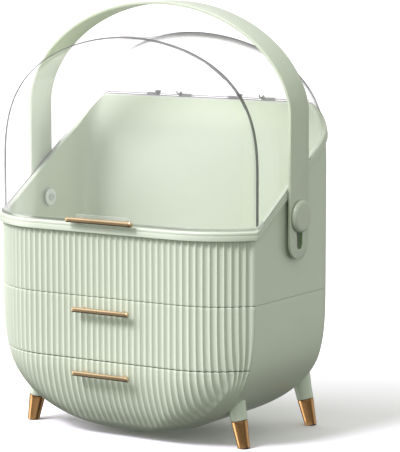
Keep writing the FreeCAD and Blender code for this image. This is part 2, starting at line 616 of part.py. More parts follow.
# pivot buttons: cap, shank through the slot and the wall; inner washer and screw
def button():
    x0 = STRAP_X + 0.3
    cap = Part.makeCylinder(BTN_R, BTN_T, V(x0, PIV_Y, PIV_Z), V(1, 0, 0))
    cap = cap.makeChamfer(1.6, [ed for ed in cap.Edges if abs(ed.BoundBox.XMin - (x0 + BTN_T)) < 1e-4 and len(ed.Vertexes) == 1])
    sh = Part.makeCylinder(PIN_R, x0 - (W - T - 3.2) + 0.5, V(W - T - 3.2, PIV_Y, PIV_Z), V(1, 0, 0))
    xk = STRAP_X - STRAP_T - 0.05
    kr = SLOT_R - 0.3
    key = box(xk, x0, PIV_Y - kr, PIV_Y + kr, PIV_Z - KEY_L + kr, PIV_Z + KEY_L - kr)
    key = key.fuse([cyl(kr, x0 - xk, (xk, PIV_Y, PIV_Z + j * (KEY_L - kr)), (1, 0, 0)) for j in (-1, 1)])
    b = cap.fuse([sh, key]).removeSplitter()
    return b.cut(cyl(1.5, 14.0, (W - T - 4.0, PIV_Y, PIV_Z), (1, 0, 0)))


btn = button()
put("pivot_button_right", btn)
put("pivot_button_left", mirror_x(btn))
xw = W - T - 3.2
wash = cyl(8.0, 1.2, (xw - 1.2, PIV_Y, PIV_Z), (1, 0, 0)).cut(cyl(1.5, 10, (xw - 5, PIV_Y, PIV_Z), (1, 0, 0)))
put("pivot_washers", sym(wash))
ps = cyl(1.5, 11.0, (xw - 1.2, PIV_Y, PIV_Z), (1, 0, 0)).fuse(cyl(3.4, 1.8, (xw - 3.0, PIV_Y, PIV_Z), (1, 0, 0)))
put("pivot_screws", sym(ps))

# ---------------------------------------------------------------- write
# the origin goes to the floor below the middle of the whole object's box
Y_MID = (-LID_PULL_Y - PULL_R + AX_Y + KR) / 2
for name in sorted(nodes):
    s = nodes[name].copy()
    s.translate(V(0, -Y_MID, 0))
    n = len(s.Solids)
    ok = s.isValid()
    b = s.BoundBox
    print("%-28s solids %d valid %s vol %9.1f  x %.1f..%.1f y %.1f..%.1f z %.1f..%.1f" % (
        name, n, ok, s.Volume, b.XMin, b.XMax, b.YMin, b.YMax, b.ZMin, b.ZMax))
    if n == 1:
        s = s.Solids[0]
    s.exportStep("parts/%s.step" % name)
print(len(nodes), "nodes")
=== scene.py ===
import bpy, bmesh, math
import numpy as np
from mathutils import Vector, Matrix


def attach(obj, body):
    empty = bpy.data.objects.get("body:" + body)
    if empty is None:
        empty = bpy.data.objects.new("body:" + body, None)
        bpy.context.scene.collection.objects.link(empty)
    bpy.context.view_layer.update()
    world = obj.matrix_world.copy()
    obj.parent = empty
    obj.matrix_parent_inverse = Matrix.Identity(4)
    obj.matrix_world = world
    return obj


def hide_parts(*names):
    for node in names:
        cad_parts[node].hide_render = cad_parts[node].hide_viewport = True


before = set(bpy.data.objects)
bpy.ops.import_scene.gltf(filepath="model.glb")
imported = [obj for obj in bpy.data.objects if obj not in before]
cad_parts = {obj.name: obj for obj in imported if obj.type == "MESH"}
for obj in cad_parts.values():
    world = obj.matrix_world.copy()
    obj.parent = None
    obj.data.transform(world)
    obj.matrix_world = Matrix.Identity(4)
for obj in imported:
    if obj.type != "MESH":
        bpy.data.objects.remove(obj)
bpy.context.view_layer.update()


# ------------------------------------------------------------------ dimensions, millimetres
# X across the front, Y back from the middle of the front face, Z up from the floor.
Y_MID = 86.475
W, XF, RF, YB, RC, T = 140.8, 75.4, 80.4, 173.0, 16.0, 2.8
SEAM1, SEAM2, Z_LIP = 135.0, 75.8, 10.0
ZB = 5.0
ZX, PX, QX = 148.0, 3.75, 2.09
ZY, PY, QY = 68.5, 1.49, 3.43
YC = 61.15
Z_RIM, Z_BACK = 203.0, 307.5
SL_Y0, SL_Y1, SL_Z1, TURN = 37.0, 150.0, 274.5, 52.5
HOOD_H, HOOD_ZS, HOOD_P, HOOD_Q, HOOD_T = 372.0, 242.0, 3.0, 1.9, 2.4
FL_T, RIM_O, LIFT_GAP = 2.6, 2.8, 0.3
AX_Y, AX_Z, HINGE_X = 179.8, 308.6, 47.0
PIV_Y, PIV_Z = 101.7, 209.7
STRAP_X, STRAP_T, STRAP_W = 146.9, 2.7, 33.0
HAND_ZS, HAND_H, HAND_P, HAND_Q = 303.0, 402.9, 1.808, 2.047
PITCH, DEPTH = 6.5, 2.1
TC = XF + RF * math.asin((W - XF) / RF)
rng = np.random.default_rng(7)


# ------------------------------------------------------------------ materials
def new_mat(name):
    m = bpy.data.materials.new(name)
    m.use_nodes = True
    nt = m.node_tree
    bsdf = nt.nodes["Principled BSDF"]
    return m, nt, bsdf


def moulded(name, col, rough=0.42, var=0.03, bump=0.02, grain=2200.0, coat=0.0, sss=0.0):
    """Moulded plastic: faint tonal drift, a fine mould texture, uneven gloss."""
    m, nt, b = new_mat(name)
    N, L = nt.nodes, nt.links
    tc = N.new("ShaderNodeTexCoord")
    n1 = N.new("ShaderNodeTexNoise"); n1.inputs["Scale"].default_value = 9.0; n1.inputs["Detail"].default_value = 3.0
    L.new(tc.outputs["Object"], n1.inputs["Vector"])
    r1 = N.new("ShaderNodeValToRGB")
    r1.color_ramp.elements[0].position = 0.3; r1.color_ramp.elements[1].position = 0.72
    r1.color_ramp.elements[0].color = (*[c * (1 - var) for c in col], 1)
    r1.color_ramp.elements[1].color = (*[min(1, c * (1 + var)) for c in col], 1)
    L.new(n1.outputs["Fac"], r1.inputs["Fac"])
    L.new(r1.outputs["Color"], b.inputs["Base Color"])
    n2 = N.new("ShaderNodeTexNoise"); n2.inputs["Scale"].default_value = 60.0; n2.inputs["Detail"].default_value = 4.0
    L.new(tc.outputs["Object"], n2.inputs["Vector"])
    mr = N.new("ShaderNodeMapRange")
    mr.inputs["From Min"].default_value = 0.3; mr.inputs["From Max"].default_value = 0.7
    mr.inputs["To Min"].default_value = rough - 0.04; mr.inputs["To Max"].default_value = rough + 0.05
    L.new(n2.outputs["Fac"], mr.inputs["Value"]); L.new(mr.outputs["Result"], b.inputs["Roughness"])
    n3 = N.new("ShaderNodeTexNoise"); n3.inputs["Scale"].default_value = grain; n3.inputs["Detail"].default_value = 2.0
    L.new(tc.outputs["Object"], n3.inputs["Vector"])
    bp = N.new("ShaderNodeBump"); bp.inputs["Strength"].default_value = bump; bp.inputs["Distance"].default_value = 0.0002
    L.new(n3.outputs["Fac"], bp.inputs["Height"]); L.new(bp.outputs["Normal"], b.inputs["Normal"])
    b.inputs["Specular IOR Level"].default_value = 0.6
    if coat:
        b.inputs["Coat Weight"].default_value = coat
        b.inputs["Coat Roughness"].default_value = 0.25
    if sss:
        b.inputs["Subsurface Weight"].default_value = sss
        b.inputs["Subsurface Scale"].default_value = 0.004
        b.inputs["Subsurface Radius"].default_value = (1.0, 1.0, 0.8)
    return m


def metal(name, col, rough, stretch=(1, 1, 1), var=0.10, bump=0.08, scale=220.0, under=None):
    """Metal with a directional brushed finish and slight tonal drift."""
    m, nt, b = new_mat(name)
    N, L = nt.nodes, nt.links
    tc = N.new("ShaderNodeTexCoord")
    mp = N.new("ShaderNodeMapping"); mp.inputs["Scale"].default_value = stretch
    L.new(tc.outputs["Object"], mp.inputs["Vector"])
    n1 = N.new("ShaderNodeTexNoise"); n1.inputs["Scale"].default_value = scale; n1.inputs["Detail"].default_value = 5.0
    L.new(mp.outputs["Vector"], n1.inputs["Vector"])
    r1 = N.new("ShaderNodeValToRGB")
    r1.color_ramp.elements[0].position = 0.25; r1.color_ramp.elements[1].position = 0.8
    r1.color_ramp.elements[0].color = (*[c * (1 - var) for c in col], 1)
    r1.color_ramp.elements[1].color = (*[min(1, c * (1 + var * 0.6)) for c in col], 1)
    L.new(n1.outputs["Fac"], r1.inputs["Fac"])
    base = r1.outputs["Color"]
    if under:
        # darker on the faces turned down: a stand-in for the dark surroundings they reflect
        sx = N.new("ShaderNodeSeparateXYZ"); L.new(tc.outputs["Normal"], sx.inputs[0])
        dn = N.new("ShaderNodeMapRange"); dn.interpolation_type = "SMOOTHSTEP"
        dn.inputs["From Min"].default_value, dn.inputs["From Max"].default_value = 0.22, -0.50
        L.new(sx.outputs["Z"], dn.inputs["Value"])
        mx = N.new("ShaderNodeMix"); mx.data_type = "RGBA"
        L.new(dn.outputs["Result"], mx.inputs["Factor"]); L.new(base, mx.inputs["A"])
        mx.inputs["B"].default_value = (*under, 1)
        base = mx.outputs["Result"]
    L.new(base, b.inputs["Base Color"])
    mr = N.new("ShaderNodeMapRange")
    mr.inputs["To Min"].default_value = max(0.03, rough - 0.08); mr.inputs["To Max"].default_value = rough + 0.1
    L.new(n1.outputs["Fac"], mr.inputs["Value"]); L.new(mr.outputs["Result"], b.inputs["Roughness"])
    bp = N.new("ShaderNodeBump"); bp.inputs["Strength"].default_value = bump; bp.inputs["Distance"].default_value = 0.0001
    L.new(n1.outputs["Fac"], bp.inputs["Height"]); L.new(bp.outputs["Normal"], b.inputs["Normal"])
    b.inputs["Metallic"].default_value = 1.0
    return m


def clear_plastic(name, tint=(0.99, 1.0, 0.995), dark=(0.10, 0.105, 0.105), lift=0.0, gain=1.0, dark_at=0.80, gate=None, haze=0.035, metallic=1.0, spec=None):
    """Clear moulding: it reflects as a thin sheet does; where it is seen edge on its colour is darkened, painted shade
    standing in for the refraction in the plastic's thickness.
    """
    m, nt, b = new_mat(name)
    N, L = nt.nodes, nt.links
    lw = N.new("ShaderNodeLayerWeight"); lw.inputs["Blend"].default_value = 0.5
    pw = N.new("ShaderNodeMath"); pw.operation = "POWER"; pw.inputs[1].default_value = 4.6
    L.new(lw.outputs["Facing"], pw.inputs[0])
    tc = N.new("ShaderNodeTexCoord")
    n1 = N.new("ShaderNodeTexNoise"); n1.inputs["Scale"].default_value = 25.0; n1.inputs["Detail"].default_value = 2.0
    L.new(tc.outputs["Object"], n1.inputs["Vector"])
    ga = N.new("ShaderNodeMath"); ga.operation = "MULTIPLY_ADD"; ga.inputs[1].default_value = 0.92 * gain; ga.inputs[2].default_value = haze * gain
    L.new(pw.outputs[0], ga.inputs[0])
    va = N.new("ShaderNodeMath"); va.operation = "MULTIPLY_ADD"
    va.inputs[1].default_value = 0.012; va.inputs[2].default_value = lift
    L.new(n1.outputs["Fac"], va.inputs[0])
    ad = N.new("ShaderNodeMath"); ad.operation = "ADD"; ad.use_clamp = True
    L.new(ga.outputs[0], ad.inputs[0]); L.new(va.outputs[0], ad.inputs[1])
    out = ad.outputs[0]
    if gate:
        # a stand-in for the bend's refraction, which this see-through shader does not have
        gm = N.new("ShaderNodeMapRange"); gm.interpolation_type = "SMOOTHSTEP"
        gm.inputs["From Min"].default_value, gm.inputs["From Max"].default_value = gate[0], gate[1]
        gm.inputs["To Max"].default_value = gate[2]
        L.new(lw.outputs["Facing"], gm.inputs["Value"])
        # and only past the middle of the bend, where the wall faces more to the rear than to the side
        ab = N.new("ShaderNodeVectorMath"); ab.operation = "ABSOLUTE"
        L.new(tc.outputs["Normal"], ab.inputs[0])
        dt = N.new("ShaderNodeVectorMath"); dt.operation = "DOT_PRODUCT"
        dt.inputs[1].default_value = (-0.7071, 0.7071, 0.0)
        L.new(ab.outputs[0], dt.inputs[0])
        sh = N.new("ShaderNodeMapRange"); sh.interpolation_type = "SMOOTHSTEP"
        sh.inputs["From Min"].default_value, sh.inputs["From Max"].default_value = -0.02, 0.08
        L.new(dt.outputs["Value"], sh.inputs["Value"])
        gs = N.new("ShaderNodeMath"); gs.operation = "MULTIPLY"
        L.new(gm.outputs["Result"], gs.inputs[0]); L.new(sh.outputs["Result"], gs.inputs[1])
        g2 = N.new("ShaderNodeMath"); g2.operation = "ADD"; g2.use_clamp = True
        L.new(out, g2.inputs[0]); L.new(gs.outputs[0], g2.inputs[1])
        out = g2.outputs[0]
    L.new(out, b.inputs["Alpha"])
    cr = N.new("ShaderNodeValToRGB")
    cr.color_ramp.elements[0].position = dark_at - 0.12; cr.color_ramp.elements[1].position = dark_at + 0.1
    cr.color_ramp.elements[0].color = (*tint, 1)
    cr.color_ramp.elements[1].color = (*dark, 1)
    L.new(lw.outputs["Facing"], cr.inputs["Fac"]); L.new(cr.outputs["Color"], b.inputs["Base Color"])
    rr = N.new("ShaderNodeMapRange"); rr.inputs["To Min"].default_value = 0.03; rr.inputs["To Max"].default_value = 0.07
    L.new(n1.outputs["Fac"], rr.inputs["Value"]); L.new(rr.outputs["Result"], b.inputs["Roughness"])
    b.inputs["Metallic"].default_value = metallic
    if spec is not None:
        b.inputs["Specular IOR Level"].default_value = spec
    return m


SAGE = (0.530, 0.595, 0.465)
M_BODY = moulded("sage_moulding", SAGE, rough=0.40, var=0.02, coat=0.3)
M_STRAP = moulded("sage_strap", (0.487, 0.542, 0.428), rough=0.38, var=0.02, coat=0.3, sss=0.6)
# painted shade: a dark saturated sage for the slot walls, standing in for the shade deep in the slot
M_SLOT_SHADE = moulded("sage_slot_painted_shade", (0.20, 0.31, 0.15), rough=0.45, var=0.02)
M_INNER = moulded("sage_inner", (0.59, 0.645, 0.53), rough=0.5, var=0.03)
M_CLEAR = clear_plastic("clear_moulding", tint=(0.965, 0.99, 0.95), gain=1.0, dark_at=0.96, haze=0.070, metallic=0.45)
# painted shade: a dark line drawn on the hood's corners, standing in for the refraction in the thick plastic
M_CLEAR_LINE_SHADE = clear_plastic("clear_moulding_corner_painted_shade", tint=(0.115, 0.118, 0.108), dark=(0.07, 0.07, 0.07), lift=0.84, metallic=0.0, spec=0.12)
# painted highlight: a more reflective strip beside the corner line and on the flange corners, darkened where seen edge
# on
M_CLEAR_EDGE_HIGHLIGHT = clear_plastic("clear_moulding_edge_painted_highlight", lift=0.26, dark_at=0.84)
# painted shade: a grey band on the front flange, standing in for looking through its thickness
M_CLEAR_FLANGE_SHADE = clear_plastic("clear_moulding_flange_painted_shade", tint=(0.50, 0.51, 0.51), dark=(0.2, 0.2, 0.2), lift=0.40)
M_HINGE = clear_plastic("hinge_clear_plastic", tint=(0.80, 0.82, 0.82), gain=0.4, dark=(0.7, 0.71, 0.71), dark_at=0.9, lift=0.12)
# painted shade: a dark band in the bend into the rear wall, standing in for its refraction
M_CLEAR_BEND_SHADE = clear_plastic("clear_moulding_bend_painted_shade", tint=(0.36, 0.37, 0.375), dark=(0.09, 0.09, 0.09), gain=0.5, dark_at=0.72, gate=(0.36, 0.56, 0.80))
M_CLEAR_TOP = clear_plastic("clear_moulding_crown", tint=(0.965, 0.99, 0.95), gain=0.40, dark_at=0.96, haze=0.070, metallic=0.45)
M_LEAF = clear_plastic("hinge_leaf_plastic", gain=0.35, dark=(0.85, 0.86, 0.86), dark_at=0.9)
M_GOLD = metal("gold_bar", (0.76, 0.55, 0.34), 0.20, stretch=(0.12, 1, 1), var=0.12, under=(0.05, 0.028, 0.010))
M_TIP = metal("copper_tip", (0.48, 0.26, 0.11), 0.18, stretch=(1, 1, 0.15), var=0.12)
M_STEEL = metal("screw_steel", (0.62, 0.62, 0.63), 0.3, var=0.1)
M_PAD = moulded("foot_pad_rubber", (0.035, 0.033, 0.03), rough=0.7, var=0.1, bump=0.2, grain=900)
M_NYLON = moulded("washer_nylon", (0.75, 0.77, 0.74), rough=0.5, var=0.03)


# ------------------------------------------------------------------ mesh helpers
def mk(name, V, F, body, mat, reps=(), sharp=38.0, merge=0.002, recalc=True, tags=None):
    V = np.asarray(V, float).copy()
    V[:, 1] -= Y_MID
    V *= 0.001
    me = bpy.data.meshes.new(name)
    me.from_pydata(V.tolist(), [], [list(map(int, f)) for f in F])
    if tags is not None:
        at = me.attributes.new("part_of", "INT", "FACE")
        at.data.foreach_set("value", list(tags))
    me.validate()
    bm = bmesh.new(); bm.from_mesh(me)
    bmesh.ops.remove_doubles(bm, verts=bm.verts, dist=merge * 0.001)
    bmesh.ops.dissolve_degenerate(bm, edges=bm.edges, dist=merge * 0.0005)
    if recalc:
        bmesh.ops.recalc_face_normals(bm, faces=bm.faces)
    bm.to_mesh(me); bm.free()
    ob = bpy.data.objects.new(name, me)
    bpy.context.scene.collection.objects.link(ob)
    finish_piece(ob, body, mat, reps, sharp)
    return ob


def finish_piece(ob, body, mat, reps=(), sharp=38.0):
    ob.data.materials.clear()
    ob.data.materials.append(mat)
    for p in ob.data.polygons:
        p.use_smooth = True
    ob.data.set_sharp_from_angle(angle=math.radians(sharp))
    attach(ob, body)
    if reps:
        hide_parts(*reps)


class Mesh:
    def __init__(self):
        self.V, self.F = [], []
        self.n = 0

    def add(self, pts):
        pts = np.asarray(pts, float).reshape(-1, 3)
        i = self.n
        self.V.append(pts); self.n += len(pts)
        return np.arange(i, i + len(pts))

    def grid(self, P, closed=False, flip=False):
        """P is (rows, cols, 3); returns the index grid."""
        r, c = P.shape[:2]
        I = self.add(P).reshape(r, c)
        self.quads(I, closed, flip)
        return I

    def quads(self, I, closed=False, flip=False):
        r, c = I.shape
        for a in range(r - 1):
            for b in range(c if closed else c - 1):
                d = (b + 1) % c
                q = (I[a, b], I[a, d], I[a + 1, d], I[a + 1, b])
                self.F.append(q[::-1] if flip else q)

    def strip(self, a, b, closed=False):
        self.quads(np.stack([a, b]), closed)

    def face(self, idx):
        self.F.append(tuple(idx))

    def arrays(self):
        return np.concatenate(self.V), self.F


def law(z, zt, zb, p, q):
    u = np.clip((zt - np.asarray(z, float)) / (zt - zb), 0, 1)
    return np.maximum(1 - u ** p, 0) ** (1 / q)


def arch_w(z, hw=W, h=HOOD_H, zs=HOOD_ZS, p=HOOD_P, q=HOOD_Q):
    u = np.clip((np.asarray(z, float) - zs) / (h - zs), 0, 1)
    return hw * np.maximum(1 - u ** p, 0) ** (1 / q)


# plan columns: (kind, value)
FR, SR, CR, RR, CL, SL = range(6)


def plan(cols, d=0.0, y_gap=0.0):
    """x, y of plan columns inset by d (a number or one per column)."""
    k, f = cols[:, 0].astype(int), cols[:, 1]
    d = np.broadcast_to(np.asarray(d, float), k.shape)
    x = np.zeros(len(k)); y = np.zeros(len(k))
    bc0 = math.asin((W - XF) / RF)
    bc = np.arcsin(np.clip((W - d - XF) / (RF - d), -1, 1))
    a = np.abs(f)
    be = (a - XF) / (TC - XF) * bc
    m = k == FR
    flat = m & (a <= XF)
    x[flat], y[flat] = f[flat], d[flat]
    cur = m & (a > XF)
    x[cur] = np.sign(f[cur]) * (XF + (RF - d[cur]) * np.sin(be[cur]))
    y[cur] = RF - (RF - d[cur]) * np.cos(be[cur])
    yc = RF - (RF - d) * np.cos(bc) + y_gap
    rc = np.maximum(RC - d, 1.0)
    ym = YB - d - rc
    for kk, s in ((SR, 1), (SL, -1)):
        m = k == kk
        x[m] = s * (W - d[m]); y[m] = yc[m] + (ym[m] - yc[m]) * f[m]
    for kk, s in ((CR, 1), (CL, -1)):
        m = k == kk
        x[m] = s * (W - d[m] - rc[m] + rc[m] * np.cos(f[m])); y[m] = ym[m] + rc[m] * np.sin(f[m])
    m = k == RR
    x[m] = f[m] * (W - d[m] - rc[m]); y[m] = YB - d[m]
    return x, y


def front_cols():
    fr = np.array([0, .022, .055, .11, .19, .29, .4, .5, .6, .71, .81, .89, .945, .978])
    t = []
    for k in range(-23, 23):
        t += list((k + fr) * PITCH)
    t += [23 * PITCH, 23 * PITCH + 0.8, TC - 0.7, TC - 0.25, TC]
    t = np.array(t)
    t = np.concatenate([[-TC, -TC + 0.25, -TC + 0.7, -23 * PITCH - 0.8], t])
    return np.stack([np.full(len(t), FR), t], 1)


def back_cols():
    s = np.array([0, .002, .006, .02, .06, .12, .2, .3, .4, .5, .6, .7, .8, .88, .95, 1.0])
    c = np.linspace(0, math.pi / 2, 15)[1:]
    r = np.linspace(1, -1, 25)[1:]
    L = [(SR, v) for v in s] + [(CR, v) for v in c] + [(RR, v) for v in r]
    L += [(CL, v) for v in c[::-1][1:]] + [(CL, 0.0)] + [(SL, v) for v in s[::-1][1:]]
    return np.array(L)


def flute(cols, fade=1.0):
    t = cols[:, 1]
    f = t / PITCH - np.floor(t / PITCH)
    c = np.minimum(f, 1 - f) * PITCH
    r = 0.18
    c = np.sqrt(c * c + r * r) - r
    cm = math.sqrt((PITCH / 2) ** 2 + r * r) - r
    u = c / cm
    h = DEPTH * (2 * u - u * u)
    h[(cols[:, 0] != FR) | (np.abs(t) > 23 * PITCH - 1e-6)] = 0
    return h * fade


def smooth(x, a, b):
    u = np.clip((x - a) / (b - a), 0, 1)
    return u * u * (3 - 2 * u)


SLOPE = math.atan2(SL_Z1 - Z_RIM, SL_Y1 - SL_Y0)
CY, CZ = SL_Y1 - TURN * math.sin(SLOPE), SL_Z1 + TURN * math.cos(SLOPE)


def rim_z(y):
    y = np.asarray(y, float)
    z = Z_RIM + np.maximum(y - SL_Y0, 0) * math.tan(SLOPE)
    # soften the start of the climb
    s = 5.0
    k = (np.abs(y - SL_Y0) < s)
    z = np.where(k, Z_RIM + math.tan(SLOPE) * (y - SL_Y0 + s) ** 2 / (4 * s), z)
    arc = CZ - np.sqrt(np.maximum(TURN ** 2 - (y - CY) ** 2, 0))
    z = np.where(y > SL_Y1, arc, z)
    return np.minimum(z, Z_BACK)


def scale_x(z):
    """Width law above the body: the walls draw in under the arch."""
    return arch_w(z) / W


FC, BC = front_cols(), back_cols()
ALL = np.concatenate([FC, BC[1:-1]])       # closed loop, front left corner -> right -> rear -> left


def body_row(cols, z, d, zb=ZB, y_gap=0.0):
    """Points of a body row: z is a number or one per column."""
    x, y = plan(cols, d, y_gap)
    z = np.broadcast_to(np.asarray(z, float), x.shape)
    sx = law(z, ZX, zb, PX, QX) * scale_x(z)
    sy = law(z, ZY, zb, PY, QY)
    return np.stack([x * sx, YC + sy * (y - YC), z], 1)


# ------------------------------------------------------------------ upper tray
def build_tray():
    m = Mesh()
    cols = ALL
    fl = flute(cols)
    x0, y0 = plan(cols, 0.0)
    R = rim_z(y0)
    hb = 8.5 + (7.0 / math.cos(SLOPE) - 8.5) * smooth(y0, 34, 60)
    hb = np.where(y0 > 150, np.maximum(hb - (y0 - 150) * 0.02, 7.6), hb)
    zb_ = R - hb
    rows = []
    rows.append(body_row(cols, 137.0, fl + 9.0)); rows[-1][:, 2] = SEAM1 + 0.05
    ek = np.where(cols[:, 0] == FR, 1.0, 0.45)
    for e, z in ((0.9, 135.05), (0.42, 135.12), (0.12, 135.4), (0.0, 135.95)):
        rows.append(body_row(cols, z, fl + e * ek))
    for v in np.linspace(0, 1, 26)[1:]:
        z = 135.95 + v * (zb_ - 135.95)
        rows.append(body_row(cols, z, fl))
    prof = [(0.6, 0.0), (2.3, 0.0), (2.68, 0.035), (2.8, 0.10), (2.8, 0.585), (2.74, 0.612), (2.35, 0.635), (2.74, 0.658),
            (2.8, 0.685), (2.8, 0.80), (2.72, 0.87), (2.5, 0.925), (2.15, 0.965), (1.7, 0.99), (1.2, 1.0), (-1.2, 1.0), (-2.1, 0.995),
            (-2.55, 0.97), (-2.78, 0.92), (-2.8, 0.86)]
    for o, g in prof:
        rows.append(body_row(cols, zb_ + g * hb, -o))
    zt = zb_ + 0.86 * hb
    for v in np.linspace(0, 1, 22)[1:]:
        rows.append(body_row(cols, zt + v * (142.0 - zt), T))
    for a in np.linspace(0, math.pi / 2, 6)[1:]:
        rows.append(body_row(cols, 142.0 - 4.2 * math.sin(a), T + 4.2 * (1 - math.cos(a))))
    I = m.grid(np.array(rows), closed=True)
    m.face(I[0][::-1]); m.face(I[-1])
    V, F = m.arrays()
    return mk("upper_tray_shell", V, F, "case", M_BODY, ("upper_tray",))


# ------------------------------------------------------------------ fluted drawer fronts
def run_down(cols, z):
    """The flutes run straight down: each front column keeps its x as the belly closes in, and only
    the last few gather in a smooth border along the outline.  Also the flute depth left per column."""
    s = float(law(z, ZX, ZB, PX, QX))
    t = cols[:, 1]
    a_ = np.abs(t)
    x0 = np.where(a_ <= XF, a_, XF + RF * np.sin(np.maximum(a_ - XF, 0) / RF))
    u = x0 / (s * W)
    a = 0.94 - 0.2 * (1 - s)
    f = np.where(u <= a, u, a + (1 - a) * (u - a) / max(1 / s - a, 1e-9))
    f = np.clip(f, 0, 1)
    x1 = W * f
    t1 = np.where(x1 <= XF, x1, XF + RF * np.arcsin(np.clip((x1 - XF) / RF, 0, (W - XF) / RF)))
    out = cols.copy(); out[:, 1] = np.sign(t) * np.minimum(t1, TC)
    grad = W * float(law(z + 0.5, ZX, ZB, PX, QX) - law(z - 0.5, ZX, ZB, PX, QX))
    dist = np.minimum(s * W * (1 - f) / math.hypot(1, grad), z - ZB)
    k = float(smooth(1 - s, 0.035, 0.12))
    left = 1 - k * (1 - smooth(dist, 4.0, 12.5))
    # the ones that gather die out before they close up
    return out, left * (1 - float(smooth(1 - s, 0.038, 0.10)) * smooth(f, a - 0.03, a + 0.015))


def build_front(name, zt, zbot, body, node, zlist, fade):
    m = Mesh()
    cols = FC
    fl = flute(cols)
    n = len(cols)
    outer, inner = [], []
    for e, z in zlist:
        cz, left = run_down(cols, z)
        outer.append(body_row(cz, z, fl * left * fade(z) + e))
    zi = [z for e, z in zlist]
    zin = 8.5
    for z in zi:
        zz = z if z > 60 else 60 - (60 - z) * (60 - max(zbot, zin + 2.0)) / (60 - zbot)
        r = body_row(run_down(cols, z)[0], zz, T - 0.05, zb=zin)
        r[:, 2] = z if z > 60 else zz
        inner.append(r)
    O = m.grid(np.array(outer), flip=True)
    I = m.grid(np.array(inner))
    m.strip(O[0], I[0]); m.strip(I[-1], O[-1])
    m.strip(O[:, 0], I[:, 0]); m.strip(I[:, -1], O[:, -1])
    V, F = m.arrays()
    return mk(name, V, F, body, M_BODY, (node,))


def zrows(zt, zbot, n):
    a = [(1.0, zt), (0.45, zt - 0.06), (0.12, zt - 0.35), (0.0, zt - 0.9)]
    b = [(0.0, zbot + 0.9), (0.12, zbot + 0.35), (0.45, zbot + 0.06), (1.0, zbot)]
    mid = [(0.0, z) for z in np.linspace(zt - 0.9, zbot + 0.9, n)[1:-1]]
    return a + mid + b


def build_fronts():
    build_front("upper_drawer_front_panel", SEAM1 - 0.3, SEAM2 + 0.3, "drawer_upper", "upper_drawer_front",
                zrows(SEAM1 - 0.3, SEAM2 + 0.3, 22), lambda z: 1.0)
    z1 = SEAM2 - 0.3
    lo = [(1.0, z1), (0.45, z1 - 0.06), (0.12, z1 - 0.35), (0.0, z1 - 0.9)]
    lo += [(0.0, z) for z in np.linspace(z1 - 0.9, 20, 40)[1:]] + [(0.0, z) for z in (18.5, 17, 15.7, 14.5, 13.4, 12.4, 11.5, 10.8)]
    lo += [(0.12, 10.4), (0.4, 10.15), (0.9, 10.1)]
    build_front("lower_drawer_front_panel", z1, 10.1, "drawer_lower", "lower_drawer_front", lo,
                lambda z: float(smooth(z, 11.0, 22.0)))


# ------------------------------------------------------------------ lower casing
def build_casing():
    m = Mesh()
    zo = [(0.4, 134.95), (0.19, 134.92), (0.05, 134.8), (0.0, 134.4)]
    zo += [(0.0, z) for z in np.linspace(134.4, 75, 14)[1:]]
    zo += [(0.0, z) for z in np.linspace(75, 20, 30)[1:]] + [(0.0, z) for z in (18.2, 16.5, 14.9, 13.4, 12.1, 11.0, 10.0)]
    zin0 = 8.5

    def zi(z):
        return 135 - (135 - z) * (135 - 9.0) / (135 - 5.5)

    bo = [body_row(BC, z, e, y_gap=0.45) for e, z in zo]
    bi = [body_row(BC, zi(z), T, zb=zin0, y_gap=0.45) for e, z in zo]
    O = m.grid(np.array(bo)); I = m.grid(np.array(bi), flip=True)
    m.strip(I[0], O[0])
    m.strip(O[:, 0], I[:, 0]); m.strip(I[:, -1], O[:, -1])
    # bowl under everything
    cols = np.concatenate([FC, BC])
    zz = [10.0 - 0.001, 9.1, 8.3, 7.6, 7.0, 6.5, 6.1, 5.8, 5.55]
    ro = [body_row(cols, z, 0.0, y_gap=np.where(cols[:, 0] == FR, 0, 0.45)) for z in zz]
    ri = [body_row(cols, zi(z), T, zb=zin0, y_gap=np.where(cols[:, 0] == FR, 0, 0.45)) for z in zz]
    ro[0][:, 2] = 10.0
    # the row shared with the walls
    nb = len(BC)
    ro[0][-nb:] = bo[-1]
    ri[0][-nb:] = bi[-1]
    A = m.grid(np.array(ro), closed=True); B = m.grid(np.array(ri), closed=True, flip=True)
    m.face(A[-1]); m.face(B[-1][::-1])
    nf = len(FC)
    ed = np.concatenate([[len(cols) - 1], np.arange(0, nf + 1)])
    m.strip(A[0][ed], B[0][ed])
    V, F = m.arrays()
    return mk("lower_casing_shell", V, F, "case", M_BODY, ("lower_casing",), merge=0.01)


# ------------------------------------------------------------------ hood
def arch_table(e, n=1600):
    """Right half of the arch inset by e as a dense table from the floor up: arc length, x, z."""
    a = np.linspace(0, math.pi / 2, n)
    u = np.sin(a)
    z = HOOD_ZS + (HOOD_H - HOOD_ZS) * u
    x = arch_w(z)
    tx, tz = np.gradient(x), np.gradient(z)
    tx[-1], tz[-1] = -1, 0
    tx[0], tz[0] = 0, 1
    l = np.hypot(tx, tz)
    xi, zi = x - e * tz / l, z + e * tx / l
    keep = xi > 0
    keep[-1] = True
    xi, zi = xi[keep], zi[keep]
    xi[-1] = 0.0
    xi = np.concatenate([[W - e, W - e], xi]); zi = np.concatenate([[150.0, HOOD_ZS - 1], zi])
    s = np.concatenate([[0], np.cumsum(np.hypot(np.diff(xi), np.diff(zi)))])
    return s, xi, zi


def arch_line(e, zlow, n):
    """n + 1 points of the inset arch from height zlow to the crown, evenly spaced."""
    s, x, z = arch_table(e)
    s0 = np.interp(zlow, z, s)
    ss = np.linspace(s0, s[-1], n + 1)
    return np.interp(ss, s, x), np.interp(ss, s, z)


